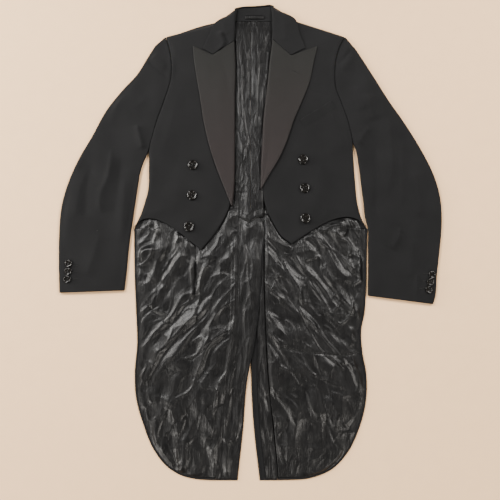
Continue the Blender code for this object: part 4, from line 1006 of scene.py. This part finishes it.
for side in SIDES:
    outward = OUTWARD[side]
    cap = moved_aside(ARM[side], outward * SEAM * 2.5)
    cap_length = lengths(cap)[-1]
    turns = np.radians(np.linspace(-90, 90, 9))
    shares = np.linspace(0, 1, 58)[1:-1]

    def section(plan_at, length, crown, edge):
        """One row over a sleeve, from under its outer edge over the top to under its inner edge."""
        near = np.concatenate([[UNDER_WRAP], EDGE_RADIUS * (1 - np.cos(turns))])
        level = np.concatenate([[0.0], edge / 2 * (1 + np.sin(turns))])
        away = np.concatenate([near, EDGE_RADIUS + (length - 2 * EDGE_RADIUS) * shares, length - near[::-1]])
        swelled = edge + (crown - edge) * np.sin(math.pi * shares) ** 0.7
        plan = plan_at(away / length)
        high = np.concatenate([level, swelled, level[::-1]])
        rim = smooth(np.minimum(away, length - away) / 16.0 - 0.2)
        rim[: len(near)] = 0
        rim[-len(near) :] = 0
        return np.column_stack([plan, high, rim])

    rows = [section(lambda s: along(cap, s), cap_length, CAP_FACE, 7.8)]
    outer_ends, inner_ends = [], []
    places = np.concatenate([np.linspace(0, 0.985, 150), [0.99, 0.994, 0.997, 1.0]])
    for place, row in zip(places, spline(SLEEVE_ROWS[side], places)):
        outer, inner = row[0:2], row[2:4]
        length = np.linalg.norm(inner - outer)
        swing = 14.0 * max(0.0, 1 - place * 17 / 6) ** 2 * -outward

        def plan_at(s, outer=outer, inner=inner, swing=swing):
            points = outer[None] + (inner - outer)[None] * s[:, None]
            points[:, 0] += swing * np.sin(math.pi * s**0.8)
            return points

        rows.append(section(plan_at, length, row[4], row[5]))
    grid = np.array(rows)
    steps = np.linspace(0, 1, CAP_ROWS)[:-1, None, None] ** 1.3
    grid = np.concatenate([grid[0] + (grid[1] - grid[0]) * steps, grid[1:]])
    x, y, rim = grid[..., 0], grid[..., 1], grid[..., 3]
    cuff = np.concatenate([CAP_SHARE * steps[:, 0, 0], CAP_SHARE + (1 - CAP_SHARE) * places])
    rim = rim * smooth((1 - cuff) * 14)[:, None] * smooth(cuff * 26 + 0.1)[:, None]
    wave = creases(x, y, SLEEVE_CREASES[side], 1.9 if side == "right" else 2.4, 0.85) + 1.3 * swell(x, y, 64, 81 if side == "right" else 82, math.radians(85), 2.2)
    hem = 0.8 * (1 - quarter_round((1 - cuff) * 460 / 3.0)) + 1.6 * (1 - quarter_round(cuff * 460 / 5.0))
    high = grid[..., 2] + wave * rim - hem[:, None] * (grid[..., 2] > 5)
    piece = cloth(f"top_sleeve_cloth_{side}", np.dstack([x, y, high]), SLEEVE - 0.4, WORSTED)
    SLEEVE_PIECE[side] = piece
    lay(piece, f"top_sleeve_{side}")

    ends = np.array([r[0][:2] for r in rows]), np.array([r[-1][:2] for r in rows])
    across = ends[1] - ends[0]
    across = across / np.linalg.norm(across, axis=1)[:, None]
    outer, inner = ends[0] + across * 0.4, ends[1] - across * 0.4
    plan = outer[:, None] + (inner - outer)[:, None] * np.linspace(0, 1, 12)[None, :, None]
    head = along(cap, np.linspace((UNDER_WRAP + 0.4) / cap_length, 1 - (UNDER_WRAP + 0.4) / cap_length, 12))
    plan[0] = head
    lay(cloth(f"under_sleeve_cloth_{side}", np.dstack([plan, np.full(plan.shape[:2], SLEEVE)]), SLEEVE, WORSTED),
        f"under_sleeve_{side}")


# Buttons: four-hole horn buttons with a raised rim, polished, sewn on with black thread. Three show on each front
# and three small ones on each cuff, set so close that they overlap.
HOLE_RADIUS, HOLE_OUT = 0.07, 0.17
PROFILE = [(0.0, 0.6), (0.3, 0.6), (0.6, 0.605), (0.7, 0.64), (0.76, 0.8), (0.81, 0.96), (0.86, 1.0), (0.92, 0.95),
           (0.975, 0.78), (1.0, 0.5), (0.975, 0.3), (0.86, 0.08), (0.7, 0.0)]


def horn():
    """Polished dark horn, clouded a little brown, with fine scratches that dull its gloss."""
    polish = Finish("polished_horn", Specular_IOR_Level=0.36)
    polish.feed(Base_Color=polish.blend(polish.noise(0.006, 4.0, 0.6).over(0.35, 0.75), (0.0024, 0.0024, 0.0024), (0.007, 0.0056, 0.0044)))
    polish.feed(Roughness=0.15 + polish.noise(0.0015, 3.0).over(0.4, 0.8) * 0.06)
    return polish.material


HORN = horn()
thread = Finish("black_thread", Roughness=0.7, Specular_IOR_Level=0.15)
ply = thread.node("ShaderNodeTexWave", {"bands_direction": "DIAGONAL"}, {"Vector": thread.place, "Scale": 900.0})
thread.feed(Base_Color=thread.blend(ply, (0.004, 0.004, 0.004), (0.012, 0.012, 0.012)), Normal=thread.bump(ply, 0.0002))
THREAD = thread.material


def tube(points, radius, sides=7):
    """Points and faces of a round thread along a line, in metres."""
    points = np.asarray(points, float)
    ahead = np.gradient(points, axis=0)
    ahead = ahead / np.linalg.norm(ahead, axis=1)[:, None]
    across = np.cross(ahead, (0.0, 0.0, 1.0))
    across = across / np.maximum(np.linalg.norm(across, axis=1), 1e-6)[:, None]
    upright = np.cross(across, ahead)
    around = np.arange(sides) * 2 * math.pi / sides
    rings = points[:, None] + radius * (np.cos(around)[None, :, None] * across[:, None] + np.sin(around)[None, :, None] * upright[:, None])
    faces = [(i * sides + j, i * sides + (j + 1) % sides, (i + 1) * sides + (j + 1) % sides, (i + 1) * sides + j)
             for i in range(len(points) - 1) for j in range(sides)]
    faces += [tuple(range(sides))[::-1], tuple(range((len(points) - 1) * sides, len(points) * sides))]
    return rings.reshape(-1, 3), faces


def made(name, points, faces, paint, node=None, slot=None):
    mesh = bpy.data.meshes.new(name)
    mesh.from_pydata([tuple(p) for p in points], [], faces)
    mesh.materials.append(paint)
    mesh.shade_smooth()
    mesh.set_sharp_from_angle(angle=math.radians(60.0))
    piece = bpy.data.objects.new(name, mesh)
    bpy.context.collection.objects.link(piece)
    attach(piece, "root")
    if node:
        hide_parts(node)
    return piece


def button(node, carrier, turn):
    """A button on its cloth where the CAD one is, with four sunk holes and two stitches of thread."""
    low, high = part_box(node)
    radius, thickness = (high.x - low.x) / 2, high.z - low.z
    cx, cy = (low.x + high.x) / 2, (low.y + high.y) / 2
    seat = low.z
    for a in np.arange(12) * math.pi / 6:
        hit = carrier.ray_cast(Vector((cx + 0.8 * radius * math.cos(a), cy + 0.8 * radius * math.sin(a), 0.1)), Vector((0, 0, -1)))[0]
        seat = max(seat, hit.z) if hit else seat
    around = np.arange(64) * 2 * math.pi / 64
    fine = spline(PROFILE, np.linspace(0, 1, 54))
    fine[:, 0] = np.clip(fine[:, 0], 0.0, 1.0)
    fine = fine[1:]
    r, h = fine[:, :1] * radius, fine[:, 1:] * thickness
    x, y = r * np.cos(around), r * np.sin(around)
    z = np.repeat(h, 64, axis=1)
    for k in range(4):
        a = turn + math.pi / 4 + k * math.pi / 2
        away = np.hypot(x - HOLE_OUT * radius * 1.35 * math.cos(a), y - HOLE_OUT * radius * 1.35 * math.sin(a))
        top = np.arange(len(fine))[:, None] < 20
        z = z - np.where(top, 0.45 * thickness * smooth((HOLE_RADIUS * radius * 1.5 - away) / (0.5 * HOLE_RADIUS * radius)), 0)
    points = np.dstack([x + cx, y + cy, z + seat]).reshape(-1, 3)
    centre = np.array([[cx, cy, 0.62 * thickness + seat]])
    rings = len(fine)
    faces = [(i * 64 + j, (i + 1) * 64 + j, (i + 1) * 64 + (j + 1) % 64, i * 64 + (j + 1) % 64)
             for i in range(rings - 1) for j in range(64)]
    points = np.concatenate([points, centre])
    faces += [(len(points) - 1, j, (j + 1) % 64) for j in range(64)]
    faces += [tuple(range((rings - 1) * 64, rings * 64))[::-1]]
    made(node.replace("button", "horn_button"), points, faces, HORN, node, "horn_button")
    stitches, joined = [], []
    for k in range(2):
        a = turn + math.pi / 4
        b = turn + math.pi * 3 / 4
        ends = [(a, b), (a + math.pi, b + math.pi)][k]
        s = np.linspace(0, 1, 9)
        ring = HOLE_OUT * radius * 1.35
        line = np.column_stack([
            cx + ring * (math.cos(ends[0]) * (1 - s) + math.cos(ends[1]) * s),
            cy + ring * (math.sin(ends[0]) * (1 - s) + math.sin(ends[1]) * s),
            seat + thickness * (0.62 + 0.2 * np.sin(math.pi * s) - 0.25 * (abs(2 * s - 1) ** 4)),
        ])
        verts, quads = tube(line, 0.00042)
        joined += [tuple(v + len(stitches) * 0 + sum(len(p) for p in stitches) for v in q) for q in quads]
        stitches.append(verts)
    made(node.replace("button", "button_thread"), np.concatenate(stitches), joined, THREAD, None, "wool")


bpy.context.view_layer.update()
depsgraph = bpy.context.evaluated_depsgraph_get()
for side in SIDES:
    for place, carrier in (("front", FORE_TREE[side]), ("cuff", SLEEVE_PIECE[side])):
        tree = BVHTree.FromObject(carrier, depsgraph)
        for n in (1, 2, 3):
            button(f"{place}_button_{side}_{n}", tree, math.radians(12 * n - 20))


# Buttonholes: a worked one in the wearer's left lapel and sham ones beside the cuff buttons, in bars of black
# buttonhole twist.
BUTTONHOLES = {
    "lapel_buttonhole": ((92, 353.5), (106, 347)),
    "cuff_buttonhole_left_1": ((371, -96), (360, -97)), "cuff_buttonhole_left_2": ((367, -111), (356.5, -112)),
    "cuff_buttonhole_left_3": ((362.5, -126), (352, -128)), "cuff_buttonhole_right_1": ((-373, -80), (-362, -79)),
    "cuff_buttonhole_right_2": ((-373, -93), (-362, -92)), "cuff_buttonhole_right_3": ((-372, -108), (-361, -107)),
}
for name, (start, end) in BUTTONHOLES.items():
    carrier = LAPEL_PIECE if name.startswith("lapel") else SLEEVE_PIECE[name.split("_")[2]]
    tree = BVHTree.FromObject(carrier, depsgraph)
    line = []
    for place in np.linspace(0, 1, 12):
        spot = (np.asarray(start, float) + (np.asarray(end, float) - start) * place + PLAN_SHIFT) * MM
        line.append((*spot, tree.ray_cast(Vector((*spot, 0.1)), Vector((0, 0, -1)))[0].z + 0.0001))
    made(name, *tube(line, 0.0006), THREAD, None, "wool")


# Seams of the tail linings: a dark row of stitching sunk in each flat seam across and down the satin.
SEAM_THREADS = {
    "cross_seam_right": CROSS_SEAM["right"], "cross_seam_left": CROSS_SEAM["left"], "short_seam_left": SHORT_SEAM["left"],
}
for name, table in SEAM_THREADS.items():
    tree = BVHTree.FromObject(TAIL_LINING[name.split("_")[2]], depsgraph)
    line = []
    for spot in chain(table, 2.0):
        spot = (spot + PLAN_SHIFT) * MM
        hit = tree.ray_cast(Vector((*spot, 0.1)), Vector((0, 0, -1)))[0]
        if hit:
            line.append((*spot, hit.z + 0.0001))
    made(name, *tube(line, 0.00055), THREAD, None, "wool")
